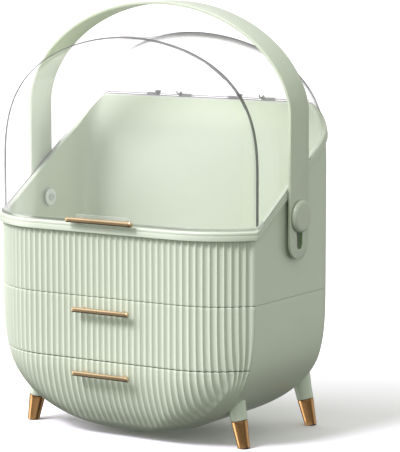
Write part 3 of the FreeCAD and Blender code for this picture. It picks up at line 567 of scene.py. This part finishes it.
def window_f(z):
    zs = np.array([195.0, 203.0, 222.0, 240.0, 260.0, 280.0, 300.0, 320.0, 335.0, 350.0, 362.0, 372.0])
    fs = np.array([1.03, 1.0, 0.905, 0.80, 0.67, 0.53, 0.39, 0.26, 0.17, 0.09, 0.035, 0.0])
    return np.interp(z, zs, fs)


def y_bow(x):
    a = np.abs(x)
    b = np.clip((a - XF) / RF, 0, (W - XF) / RF)
    return np.where(a <= XF, 0.0, RF - np.sqrt(np.maximum(RF ** 2 - (RF * b) ** 2, 0)))


NA, NW = 60, 48


def hood_skin(e):
    """Window grid (NA+1, NW+1), shell grid (stations, 2 NA+1), rear grid (NA+1, NW+1) of the skin inset by e."""
    xi = np.cos(np.linspace(0, math.pi, NW + 1))
    lin = np.linspace(1, -1, NW + 1)
    xi = 0.35 * xi + 0.65 * lin
    zlow0 = Z_RIM + LIFT_GAP + (FL_T if e == 0 else 0.0)
    re = 1.6 if e == 0 else 0.4

    def win(inset):
        X, Z = arch_line(inset, zlow0, NA)
        x = X[:, None] * xi[None, :]
        full = x / np.maximum(X[:, None], 1e-9) * W
        z = np.repeat(Z[:, None], NW + 1, 1)
        y = 36.0 - window_f(z) * (36.0 - y_bow(xi[None, :] * W)) + e
        return np.stack([x, y, z], 2)

    window = win(e + re)
    # order: from the window's edge (inset re) round to the shell (inset 0)
    st = [(36.0 + e + re * (1 - math.cos(b)), re * (1 - math.sin(b))) for b in np.linspace(0, math.pi / 2, 6)[1:]]
    ys = [37.6 + e + 2.1] + list(np.linspace(37.6 + e + 2.1, 151.0, 22)[1:])
    st += [(y, 0.0) for y in ys]
    shell = []

    def line(y, ins):
        zl = float(rim_z(y)) + LIFT_GAP + (FL_T if e == 0 else 0.0)
        X, Z = arch_line(e + ins, zl, NA)
        return X, Z

    for y, ins in st:
        X, Z = line(y, ins)
        Yv = np.full(NA + 1, y)
        shell.append((X, Yv, Z))
    # rear rounding
    for b in np.linspace(0, math.pi / 2, 25)[1:]:
        i = np.linspace(0, 1, NA + 1)
        Rr = 15.0 + 7.0 * smooth(i, 0.15, 0.7) - e
        yy = YB - e - Rr + Rr * math.sin(b)
        ins = Rr * (1 - math.cos(b))
        zl = rim_z(yy[0]) + LIFT_GAP + (FL_T if e == 0 else 0.0)
        X = np.zeros(NA + 1); Z = np.zeros(NA + 1)
        # interpolate between arch lines of the smallest and largest inset
        qs = np.linspace(ins.min(), ins.max() + 1e-6, 6)
        LX = []; LZ = []
        for q in qs:
            a_, b_ = arch_line(e + q, float(zl), NA)
            LX.append(a_); LZ.append(b_)
        LX, LZ = np.array(LX), np.array(LZ)
        for k in range(NA + 1):
            X[k] = np.interp(ins[k], qs, LX[:, k]); Z[k] = np.interp(ins[k], qs, LZ[:, k])
        shell.append((X, yy, Z))
    G = []
    for X, Yv, Z in shell:
        right = np.stack([X, Yv, Z], 1)
        left = right[::-1][1:].copy(); left[:, 0] *= -1
        G.append(np.concatenate([right, left]))
    G = np.array(G)
    Xr, Yr, Zr = shell[-1]
    rear = np.stack([Xr[:, None] * xi[None, :], np.repeat(Yr[:, None], NW + 1, 1), np.repeat(Zr[:, None], NW + 1, 1)], 2)
    return window, G, rear


def build_hood():
    m = Mesh()
    tag = []
    loops = []
    for e in (0.0, HOOD_T):
        win, G, rear = hood_skin(e)
        flip = e > 0
        Wd = m.grid(win, flip=not flip)
        tag += [0] * (len(m.F) - len(tag))
        S = m.grid(G, flip=not flip)
        cells = G.shape[1] - 1
        tag += [(k // cells + 2 if e == 0 else 0) for k in range(len(m.F) - len(tag))]
        Rr = m.grid(rear, flip=flip)
        tag += [0] * (len(m.F) - len(tag))
        # window edge to the first shell station
        edge = np.concatenate([Wd[:, 0], Wd[:-1, -1][::-1]])
        m.quads(np.stack([edge, S[0]]), flip=not flip)
        tag += [1 if e == 0 else 0] * (len(m.F) - len(tag))
        redge = np.concatenate([Rr[:, 0], Rr[:-1, -1][::-1]])
        m.quads(np.stack([S[-1], redge]), flip=not flip)
        # bottom loop: window bottom left -> right, right side back, rear right -> left, left side forward
        loop = list(Wd[0][::-1]) + list(S[:, 0]) + list(Rr[0]) + list(S[::-1, -1])
        loops.append(loop)
    V = np.concatenate(m.V)
    Lo, Li = np.array(loops[0]), np.array(loops[1])
    P, Q = V[Lo], V[Li]
    # outward plan direction of the loop
    n = len(Lo)
    d = np.zeros((n, 2))
    nf = NW + 1
    ns = (n - 2 * nf) // 2
    for i in range(n):
        if i < nf:
            x = P[i, 0]
            b = np.clip((abs(x) - XF) / RF, 0, 0.8136)
            d[i] = (math.copysign(b, x), -math.sqrt(1 - b * b)) if abs(x) > XF else (0, -1)
        elif i < nf + ns or i >= 2 * nf + ns:
            s = 1 if P[i, 0] > 0 else -1
            y = P[i, 1]
            a = np.clip((y - (YB - 15.0)) / 15.0, 0, 1)
            d[i] = (s * math.sqrt(1 - a * a), a)
        else:
            d[i] = (0, 1)
    rings = []
    h0 = P[:, 2] - FL_T
    for o, g in ((0.5, 1.0), (1.5, 1.0), (2.15, 0.94), (2.42, 0.64), (2.42, 0.36), (2.15, 0.06), (1.5, 0.0), (0.3, 0.0)):
        r = P.copy()
        r[:, 0] += d[:, 0] * o; r[:, 1] += d[:, 1] * o
        r[:, 2] = h0 + FL_T * g
        rings.append(m.add(r))
    prev = Lo
    for r in rings:
        m.quads(np.stack([prev, r]), closed=True)
        prev = r
    m.quads(np.stack([prev, Li]), closed=True)
    V, F = m.arrays()
    tag += [0] * (len(F) - len(tag))
    ob = mk("hood_shell", V, F, "lid", M_CLEAR, ("lid_hood",), sharp=35, tags=tag)
    for mat in (M_CLEAR_LINE_SHADE, M_CLEAR_EDGE_HIGHLIGHT, M_CLEAR_BEND_SHADE, M_CLEAR_FLANGE_SHADE, M_CLEAR_TOP):
        ob.data.materials.append(mat)
    # Painted shade and painted highlight stand in for the refraction of the thick clear plastic: the corner round the
    # window gets a dark line and a reflective strip, the bend into the rear wall a dark band, the flange a grey band or
    # the line and strip, and the crown a copy that reflects less.  Tags: 1 the window's edge, 2 to 6 the corner and the
    # first millimetre behind it, then the walls, then the 24 steps of the rear bend.
    tags = [0] * len(ob.data.polygons)
    ob.data.attributes["part_of"].data.foreach_get("value", tags)
    first_rear = 2 + 4 + 22
    for p, tg in zip(ob.data.polygons, tags):
        c = p.center * 1000
        y, z = c.y + Y_MID, c.z
        top = float(smooth(z, 290.0, 358.0))
        if (z > 326 and 40 < y < 151) or (y < 36.5 + HOOD_T and abs(c.x) > float(arch_w(z)) - 11.0 and z > Z_RIM + 4):
            p.material_index = 5
        # the window's corner: the dark line (painted shade), and at the sides the reflective strip nearer the window
        # (painted highlight)
        if 1 <= tg <= 6:
            p.material_index = 1 if tg - 1 >= round(2 - 2 * top) else 2
        elif tg >= first_rear:
            # the first 64 degrees of the rear bend get the dark band: painted shade
            bend = (tg - first_rear + 0.5) * 3.75
            if bend < 64:
                p.material_index = 3
        # flange corners: outside the walls, facing between up or down and out; the front flange gets the grey band, the
        # others the dark line or the reflective strip: painted shade and painted highlight
        out = max(abs(c.x) - W, float(y_bow(c.x)) - y if y < 60 else 0.0, y - YB)
        nz = abs(p.normal.z)
        if z < float(rim_z(y)) + FL_T + 1.2 and out > 0.2:
            if y < 45 and out > 0.6:
                p.material_index = 4
            elif out > 1.45 and 0.10 < nz < 0.999:
                p.material_index = 1 if y > YB - 12 or p.normal.z < -0.1 else 2
    ob.data.attributes.remove(ob.data.attributes["part_of"])
    return ob





def build_leaves():
    """The lid's half of each hinge: a screwed plate, a barrel, and two thin triangular webs between them."""
    for sx, nm in ((-1, "left"), (1, "right")):
        m = Mesh()
        hx = sx * HINGE_X
        n = 26

        def slab(prof, x0, x1):
            A = m.add([(x0, y, z) for y, z in prof]); B = m.add([(x1, y, z) for y, z in prof])
            m.strip(A, B, closed=True); m.face(A[::-1]); m.face(B)

        barrel = [(AX_Y + 3.5 * math.cos(t), AX_Z + 3.5 * math.sin(t)) for t in np.linspace(0, 2 * math.pi, n, endpoint=False)]
        slab(barrel, hx - 13, hx + 13)
        slab([(173.05, 310.6), (174.5, 310.6), (174.8, 310.9), (174.8, 324.0), (174.4, 324.4), (173.05, 324.4)], hx - 13, hx + 13)
        for wx in (-12.2, 12.2):
            web = [(174.6, 324.0), (174.6, 310.8), (176.4, 309.2), (AX_Y + 0.5, AX_Z + 0.2), (AX_Y + 3.1, AX_Z + 1.6), (AX_Y + 2.4, AX_Z + 3.2)]
            slab(web, hx + wx - 0.75, hx + wx + 0.75)
        V, F = m.arrays()
        mk("hinge_leaf_" + nm, V, F, "lid", M_LEAF, ("lid_hinge_leaf_" + nm,), sharp=30)


def rounded_box(name, lo, hi, r, body, mat, reps=(), seg=3):
    bm = bmesh.new()
    bmesh.ops.create_cube(bm, size=1.0)
    lo, hi = np.array(lo, float), np.array(hi, float)
    for v in bm.verts:
        c = np.array(v.co)
        v.co = Vector(((lo + hi) / 2 + c * (hi - lo)) * 0.001)
        v.co.y -= Y_MID * 0.001
    bmesh.ops.bevel(bm, geom=bm.edges[:] + bm.verts[:], offset=r * 0.001, segments=seg, profile=0.5, affect="EDGES")
    bmesh.ops.recalc_face_normals(bm, faces=bm.faces)
    me = bpy.data.meshes.new(name)
    bm.to_mesh(me); bm.free()
    ob = bpy.data.objects.new(name, me)
    bpy.context.scene.collection.objects.link(ob)
    finish_piece(ob, body, mat, reps, 30)
    return ob


# ------------------------------------------------------------------ handle strap
def build_strap():
    m = Mesh()
    e = STRAP_T / 2
    nn = 1400
    a = np.linspace(0, math.pi / 2, nn)
    u = np.sin(a)
    z = HAND_ZS + (HAND_H - HAND_ZS) * u
    x = STRAP_X * np.maximum(1 - u ** HAND_P, 0) ** (1 / HAND_Q)
    tx, tz = np.gradient(x), np.gradient(z)
    tx[-1], tz[-1] = -1, 0
    tx[0], tz[0] = 0, 1
    l = np.hypot(tx, tz)
    xi, zi = x - e * tz / l, z + e * tx / l
    xi[-1] = 0
    xi = np.concatenate([[STRAP_X - e], xi]); zi = np.concatenate([[170.0], zi])
    s = np.concatenate([[0], np.cumsum(np.hypot(np.diff(xi), np.diff(zi)))])
    hw = STRAP_W / 2
    st = list(hw * (1 - np.cos(np.linspace(0, math.pi / 2, 14)))) + list(np.linspace(hw, 134.0, 14)[1:]) + list(np.linspace(134.0, s[-1], 66)[1:])
    st = np.array(st); st[0] = 0.02
    PX_, PZ_ = np.interp(st, s, xi), np.interp(st, s, zi)
    TX, TZ = np.gradient(PX_, st), np.gradient(PZ_, st)
    TX[-1], TZ[-1] = -1, 0
    L = np.hypot(TX, TZ); TX /= L; TZ /= L
    NX, NZ = TZ, -TX            # outward
    w = np.where(st < hw, np.sqrt(np.maximum(hw ** 2 - (hw - st) ** 2, 0)), hw)
    # rounded section: corner radius rc
    rc, ht = 0.55, STRAP_T / 2
    sec = []
    for cx, cy, a0 in ((1, 1, 0), (-1, 1, math.pi / 2), (-1, -1, math.pi), (1, -1, 1.5 * math.pi)):
        for b in np.linspace(0, math.pi / 2, 5):
            sec.append((cx, cy, math.cos(a0 + b), math.sin(a0 + b)))
    rows = []
    for k in range(len(st)):
        r = []
        ww = max(w[k], rc + 0.05)
        for cx, cy, ca, sa in sec:
            v = cx * (ww - rc) + ca * rc
            h = cy * (ht - rc) + sa * rc
            if w[k] < rc + 0.05:
                v *= w[k] / ww
            r.append((PX_[k] + NX[k] * h, PIV_Y + v, PZ_[k] + NZ[k] * h))
        rows.append(r)
    rows = np.array(rows)
    left = rows[::-1][1:].copy(); left[:, :, 0] *= -1
    # keep the section order consistent on the mirrored half
    full = np.concatenate([rows, left])
    I = m.grid(full, closed=True)
    m.face(I[0][::-1]); m.face(I[-1])
    V, F = m.arrays()
    ob = mk("handle_strap_band", V, F, "handle", M_STRAP, ("handle_strap",), sharp=42)
    # slots
    cm = Mesh()
    r = 4.9
    zt, zb_ = PIV_Z + 7.0 + 0.35 - r, 179.2 + r
    ang = np.linspace(0, math.pi, 17)
    out = [(PIV_Y + r * math.cos(t), zt + r * math.sin(t)) for t in ang] + [(PIV_Y - r * math.cos(t), zb_ - r * math.sin(t)) for t in ang]
    for sx in (-1, 1):
        A = cm.add([(sx * 138.0, y, z) for y, z in out]); B = cm.add([(sx * 152.0, y, z) for y, z in out])
        cm.strip(A, B, closed=True); cm.face(A[::-1]); cm.face(B)
    V, F = cm.arrays()
    V[:, 1] -= Y_MID; V *= 0.001
    me = bpy.data.meshes.new("cut"); me.from_pydata(V.tolist(), [], [list(map(int, f)) for f in F])
    bm = bmesh.new(); bm.from_mesh(me); bmesh.ops.recalc_face_normals(bm, faces=bm.faces); bm.to_mesh(me); bm.free()
    cut = bpy.data.objects.new("cut", me); bpy.context.scene.collection.objects.link(cut)
    md = ob.modifiers.new("slot", "BOOLEAN"); md.operation = "DIFFERENCE"; md.object = cut; md.solver = "EXACT"
    bpy.context.view_layer.update()
    dg = bpy.context.evaluated_depsgraph_get()
    res = bpy.data.meshes.new_from_object(ob.evaluated_get(dg))
    ob.modifiers.clear()
    ob.data = res
    bpy.data.objects.remove(cut)
    for p in ob.data.polygons:
        p.use_smooth = True
    ob.data.set_sharp_from_angle(angle=math.radians(42))
    ob.data.materials.clear(); ob.data.materials.append(M_STRAP); ob.data.materials.append(M_SLOT_SHADE)
    # the slot walls take the dark sage: painted shade
    for p in ob.data.polygons:
        c = p.center * 1000
        inside = abs(c.y + Y_MID - PIV_Y) < r + 0.2 and zb_ - r - 0.2 < c.z < zt + r + 0.2
        p.material_index = 1 if inside and abs(p.normal.x) < 0.5 else 0
    return ob


def lathe(name, prof, origin, axis, body, mat, reps=(), seg=72, sharp=38, floor_z=None):
    """prof: (radius, distance along the axis) pairs from one end to the other; closed at both ends."""
    ax = Vector(axis).normalized()
    up = Vector((0, 0, 1)) if abs(ax.z) < 0.9 else Vector((1, 0, 0))
    u = ax.cross(up).normalized(); v = ax.cross(u)
    o = Vector(origin)
    m = Mesh()
    P = []
    for r, h in prof:
        P.append([tuple(o + ax * h + (u * math.cos(t) + v * math.sin(t)) * r) for t in np.linspace(0, 2 * math.pi, seg, endpoint=False)])
    P = np.array(P)
    if floor_z is not None:
        P[..., 2] = np.maximum(P[..., 2], floor_z)
    I = m.grid(P, closed=True)
    m.face(I[0][::-1]); m.face(I[-1])
    V, F = m.arrays()
    return mk(name, V, F, body, mat, reps, sharp)


def build_buttons():
    x0 = STRAP_X + 0.3
    prof = [(4.4, 134.8 - x0), (4.4, 0.0), (14.2, 0.0), (14.75, 0.18), (15.0, 0.6), (15.0, 1.7), (14.86, 2.3), (14.45, 2.95), (13.8, 3.5),
            (13.0, 3.92), (12.1, 4.18), (11.4, 4.28), (10.6, 4.3), (3.0, 4.3)]
    for sx, nm in ((1, "right"), (-1, "left")):
        lathe("pivot_cap_" + nm, prof, (sx * x0, PIV_Y, PIV_Z), (sx, 0, 0), "pivots", M_STRAP, ("pivot_button_" + nm,))


# ------------------------------------------------------------------ bar pulls
def bar(name, z, length, yc, ywall, body, node, half=2.35):
    m = Mesh()
    rc = 1.75
    sec = []
    for cx, cy, a0 in ((1, 1, 0), (-1, 1, math.pi / 2), (-1, -1, math.pi), (1, -1, 1.5 * math.pi)):
        for b in np.linspace(0, math.pi / 2, 5):
            sec.append((cx * (half - rc) + math.cos(a0 + b) * rc, cy * (half - rc) + math.sin(a0 + b) * rc))
    sec = np.array(sec)
    L = length / 2
    xs = [(-L, 0.72), (-L + 0.12, 0.86), (-L + 0.4, 0.96), (-L + 0.9, 1.0)] + [(x, 1.0) for x in np.linspace(-L + 0.9, L - 0.9, 24)[1:-1]]
    xs += [(L - 0.9, 1.0), (L - 0.4, 0.96), (L - 0.12, 0.86), (L, 0.72)]
    P = np.array([[(x, yc + k * a, z + k * b) for a, b in sec] for x, k in xs])
    I = m.grid(P, closed=True)
    m.face(I[0][::-1]); m.face(I[-1])
    # two posts, each a turned collar that flares into the panel
    for sx in (-1, 1):
        px = sx * length * 0.36
        n = 28
        rows = []
        for r, y in ((1.45, yc), (1.45, ywall - 1.3), (1.5, ywall - 0.7), (1.75, ywall - 0.3), (1.95, ywall - 0.05), (1.95, ywall + 0.9)):
            rows.append([(px + r * math.cos(t), y, z + r * math.sin(t)) for t in np.linspace(0, 2 * math.pi, n, endpoint=False)])
        J = m.grid(np.array(rows), closed=True)
        m.face(J[0][::-1]); m.face(J[-1])
    V, F = m.arrays()
    return mk(name, V, F, body, M_GOLD, (node,), sharp=50)


def build_pulls():
    bar("upper_drawer_bar", 123.0, 61.6, -6.8, 0.2, "drawer_upper", "upper_drawer_pull")
    bar("lower_drawer_bar", 63.6, 61.6, -6.8, 0.5, "drawer_lower", "lower_drawer_pull")
    bar("hood_bar", 205.6 + LIFT_GAP, 72.4, -8.0, -3.3, "lid", "lid_pull")
    rounded_box("hood_tab", (-28.5, -3.4, Z_RIM + LIFT_GAP), (28.5, 1.2, 210.6 + LIFT_GAP), 1.0, "lid", M_CLEAR, ("lid_hood",), seg=4)


# ------------------------------------------------------------------ feet
FEET = {"front_left": (-119.4, 50.7), "front_right": (119.4, 50.7), "rear_left": (-119.4, 171.9), "rear_right": (119.4, 171.9)}


def build_feet():
    for nm, (fx, fy) in FEET.items():
        sx = 1 if fx > 0 else -1
        ry = 0.065 if fy > 100 else 0.0
        ax = Vector((-sx * 0.212, -ry, 1.0)); k = 1 / ax.normalized().z
        o = (fx, fy, 0.0)
        tip = [(5.32, 2.4 * k), (5.32, 0.9 * k), (5.42, 0.6 * k), (5.62, 0.62 * k), (5.74, 0.95 * k), (6.05, 6.0 * k), (6.85, 14.5 * k), (7.6, 22.6 * k), (7.68, 24.2 * k), (7.55, 24.9 * k), (7.2, 25.2 * k)]
        lathe("foot_ferrule_" + nm, tip, o, ax, "case", M_TIP, ("foot_tip_" + nm,), floor_z=0.05)
        so = [(7.2, 25.35 * k), (7.75, 25.6 * k), (8.0, 26.3 * k), (8.05, 29.0 * k), (8.25, 34.0 * k), (8.6, 39.0 * k), (9.0, 43.0 * k), (9.3, 46.5 * k), (9.35, 49.0 * k), (9.05, 51.5 * k), (8.3, 54.0 * k), (7.0, 56.3 * k), (5.2, 58.1 * k), (2.8, 59.3 * k), (0.6, 59.7 * k)]
        lathe("foot_socket_body_" + nm, so, o, ax, "case", M_BODY, ("foot_socket_" + nm,))


build_tray()
build_fronts()
build_casing()
build_hood()
build_leaves()
build_strap()
build_buttons()
build_pulls()
build_feet()

# ------------------------------------------------------------------ CAD nodes that stay
keep = {
    "drawer_shelf": M_INNER, "upper_drawer_box": M_INNER, "lower_drawer_box": M_INNER, "lower_drawer_runners": M_INNER,
    "foot_pads": M_PAD, "foot_screws": M_STEEL, "tray_screws": M_STEEL, "hinge_screws": M_STEEL, "hinge_pins": M_LEAF,
    "upper_drawer_pull_screws": M_STEEL, "lower_drawer_pull_screws": M_STEEL, "lid_pull_screws": M_STEEL,
    "pivot_screws": M_STEEL, "pivot_washers": M_NYLON,
    "case_hinge_bracket_left": M_HINGE, "case_hinge_bracket_right": M_HINGE,
}
for n, mt in keep.items():
    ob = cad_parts[n]
    ob.data.materials.clear()
    ob.data.materials.append(mt)

# ------------------------------------------------------------------ floor, light, camera
scene = bpy.context.scene


def floor():
    m, nt, b = new_mat("studio_floor")
    N, L = nt.nodes, nt.links
    tc = N.new("ShaderNodeTexCoord")
    n1 = N.new("ShaderNodeTexNoise"); n1.inputs["Scale"].default_value = 0.6
    L.new(tc.outputs["Object"], n1.inputs["Vector"])
    r = N.new("ShaderNodeValToRGB")
    r.color_ramp.elements[0].color = (0.965, 0.957, 0.970, 1); r.color_ramp.elements[1].color = (0.98, 0.972, 0.985, 1)
    L.new(n1.outputs["Fac"], r.inputs["Fac"]); L.new(r.outputs["Color"], b.inputs["Base Color"])
    b.inputs["Roughness"].default_value = 0.85
    b.inputs["Specular IOR Level"].default_value = 0.1
    me = bpy.data.meshes.new("studio_floor")
    s = 40.0
    bm = bmesh.new()
    k = 16
    vs = [[bm.verts.new(((i / k - 0.5) * 2 * s, (j / k - 0.5) * 2 * s, 0)) for i in range(k + 1)] for j in range(k + 1)]
    for j in range(k):
        for i in range(k):
            bm.faces.new((vs[j][i], vs[j][i + 1], vs[j + 1][i + 1], vs[j + 1][i]))
    bm.to_mesh(me); bm.free()
    ob = bpy.data.objects.new("studio_floor", me)
    scene.collection.objects.link(ob)
    me.materials.append(m)
    ob.visible_diffuse = False
    ob.visible_glossy = False


floor()
w = bpy.data.worlds.new("studio")
scene.world = w
w.use_nodes = True
wn, wl = w.node_tree.nodes, w.node_tree.links
bg = wn["Background"]
bg.inputs["Color"].default_value = (0.985, 1.0, 0.955, 1)
wt = wn.new("ShaderNodeTexCoord")
sp = wn.new("ShaderNodeSeparateXYZ")
wl.new(wt.outputs["Generated"], sp.inputs[0])


def wmath(op, a, b=None, clamp=False):
    n = wn.new("ShaderNodeMath"); n.operation = op; n.use_clamp = clamp
    for i, v in enumerate((a, b)):
        if v is None:
            continue
        if isinstance(v, (int, float)):
            n.inputs[i].default_value = v
        else:
            wl.new(v, n.inputs[i])
    return n.outputs[0]


def wramp(v, stops):
    """Piecewise level over -1..1 of one direction component."""
    n = wn.new("ShaderNodeValToRGB")
    el = n.color_ramp.elements
    while len(el) > 1:
        el.remove(el[-1])
    for i, (p, g) in enumerate(stops):
        e = el[0] if i == 0 else el.new(0.5)
        e.position = p * 0.5 + 0.5
        e.color = (g, g, g, 1)
    wl.new(wmath("MULTIPLY_ADD", v, 0.5), n.inputs["Fac"])
    n.inputs["Fac"].links[0].from_node.inputs[2].default_value = 0.5
    return n.outputs["Color"]


# soft fill: even round the sides, falling away below where the object shades its own floor
fill = wramp(sp.outputs["Z"], [(-1.0, 0.05), (-0.55, 0.12), (-0.25, 0.40), (-0.04, 0.80), (0.1, 0.86), (1.0, 0.82)])
lean = wmath("MULTIPLY_ADD", wmath("ADD", wmath("MULTIPLY", sp.outputs["X"], -0.08), wmath("MULTIPLY", sp.outputs["Y"], -0.10)), 1.0)
lean.node.inputs[2].default_value = 1.0
fill = wmath("MULTIPLY", fill, lean)
# what gloss sees: a dim room in front with the soft box above it, and a bright sweep behind
front = wramp(sp.outputs["Z"], [(-1.0, 0.25), (-0.70, 0.80), (-0.50, 0.60), (-0.34, 0.48), (-0.17, 0.24), (0.20, 0.20), (0.34, 1.0), (0.8, 1.0), (1.0, 1.0)])
back = wramp(sp.outputs["Z"], [(-1.0, 0.08), (-0.4, 0.18), (-0.16, 0.55), (0.02, 1.0), (0.6, 1.0), (1.0, 1.0)])
yb = wn.new("ShaderNodeMapRange"); yb.interpolation_type = "SMOOTHSTEP"
yb.inputs["From Min"].default_value = -0.55; yb.inputs["From Max"].default_value = 0.15
wl.new(sp.outputs["Y"], yb.inputs["Value"])
mixg = wn.new("ShaderNodeMix"); mixg.data_type = "FLOAT"
wl.new(yb.outputs["Result"], mixg.inputs[0]); wl.new(front, mixg.inputs[2])
xr = wn.new("ShaderNodeMapRange"); xr.interpolation_type = "SMOOTHSTEP"
xr.inputs["From Min"].default_value = 0.0; xr.inputs["From Max"].default_value = 0.55
xr.inputs["To Min"].default_value = 1.0; xr.inputs["To Max"].default_value = 0.40
wl.new(sp.outputs["X"], xr.inputs["Value"])
wl.new(wmath("MULTIPLY", back, xr.outputs["Result"]), mixg.inputs[3])


def panel(az, half, soft, level, tall=((-1.0, 0.0), (-0.55, 0.2), (-0.40, 1.0), (0.5, 1.0), (0.7, 0.0), (1.0, 0.0))):
    """A tall soft panel at azimuth az (degrees), seen between half - soft and half + soft either side."""
    vm = wn.new("ShaderNodeCombineXYZ")
    wl.new(sp.outputs["X"], vm.inputs[0]); wl.new(sp.outputs["Y"], vm.inputs[1])
    nm = wn.new("ShaderNodeVectorMath"); nm.operation = "NORMALIZE"
    wl.new(vm.outputs[0], nm.inputs[0])
    dp = wn.new("ShaderNodeVectorMath"); dp.operation = "DOT_PRODUCT"
    wl.new(nm.outputs[0], dp.inputs[0])
    dp.inputs[1].default_value = (math.cos(math.radians(az)), math.sin(math.radians(az)), 0)
    mr = wn.new("ShaderNodeMapRange"); mr.interpolation_type = "SMOOTHSTEP"
    mr.inputs["From Min"].default_value = math.cos(math.radians(half + soft))
    mr.inputs["From Max"].default_value = math.cos(math.radians(half - soft))
    mr.inputs["To Max"].default_value = level
    wl.new(dp.outputs["Value"], mr.inputs["Value"])
    return wmath("MULTIPLY", mr.outputs["Result"], wramp(sp.outputs["Z"], tall))


gloss = wmath("ADD", mixg.outputs[0], wmath("ADD", panel(-155, 17, 8, 2.9), panel(46, 20, 9, 0.95)))
lp = wn.new("ShaderNodeLightPath")
m1 = wn.new("ShaderNodeMix"); m1.data_type = "FLOAT"
wl.new(lp.outputs["Is Glossy Ray"], m1.inputs[0]); wl.new(fill, m1.inputs[2]); wl.new(gloss, m1.inputs[3])
m2 = wn.new("ShaderNodeMix"); m2.data_type = "FLOAT"
wl.new(lp.outputs["Is Camera Ray"], m2.inputs[0]); wl.new(m1.outputs[0], m2.inputs[2]); m2.inputs[3].default_value = 1.0
wl.new(m2.outputs[0], bg.inputs["Strength"])


def sun(name, to_light, energy, angle, col=(1, 1, 1)):
    ld = bpy.data.lights.new(name, "SUN")
    ld.energy = energy
    ld.angle = math.radians(angle)
    ld.color = col
    ob = bpy.data.objects.new(name, ld)
    ob.rotation_euler = (-Vector(to_light)).to_track_quat("-Z", "Y").to_euler()
    scene.collection.objects.link(ob)
    return ob


sun("key", (-0.20, -0.655, 0.73), 2.68, 16.0, (1.04, 0.97, 1.12))
sun("side", (-0.71, -0.50, 0.50), 1.92, 40.0, (1.04, 0.97, 1.12)).visible_glossy = False
sun("right", (0.88, -0.30, 0.16), 0.22, 60.0).visible_glossy = False

# bounce from inside the case up on to the underside of the handle
bl = bpy.data.lights.new("bounce", "AREA")
bl.shape = "RECTANGLE"; bl.size = 0.20; bl.size_y = 0.10; bl.energy = 0.11; bl.color = (1.0, 0.98, 0.90)
bo = bpy.data.objects.new("bounce", bl)
bo.location = (0, 0, 0.275); bo.rotation_euler = (math.pi, 0, 0)
bo.visible_camera = False; bo.visible_glossy = False
scene.collection.objects.link(bo)

cam_loc = Vector((1245.1, -1775.3 - Y_MID, 482.1)) * 0.001
target = Vector((0.0, 52.0 - Y_MID, 193.5)) * 0.001
fwd = (target - cam_loc).normalized()
right = fwd.cross(Vector((0, 0, 1))).normalized()
up = right.cross(fwd)
F_PX = 2401.0
# the optical axis passes through the middle of the frame
axis = (fwd + right * ((200.0 - 135.88) / F_PX) - up * ((226.0 - 228.34) / F_PX)).normalized()
r2 = axis.cross(Vector((0, 0, 1))).normalized()
u2 = r2.cross(axis)
cd = bpy.data.cameras.new("camera")
cd.sensor_fit = "AUTO"
cd.sensor_width = 36.0
cd.lens = F_PX / 452.0 * 36.0
cd.clip_start = 0.05; cd.clip_end = 200.0
cam = bpy.data.objects.new("camera", cd)
cam.matrix_world = Matrix(((r2.x, u2.x, -axis.x, cam_loc.x), (r2.y, u2.y, -axis.y, cam_loc.y), (r2.z, u2.z, -axis.z, cam_loc.z), (0, 0, 0, 1)))
scene.collection.objects.link(cam)
scene.camera = cam
scene.view_settings.view_transform = "Standard"
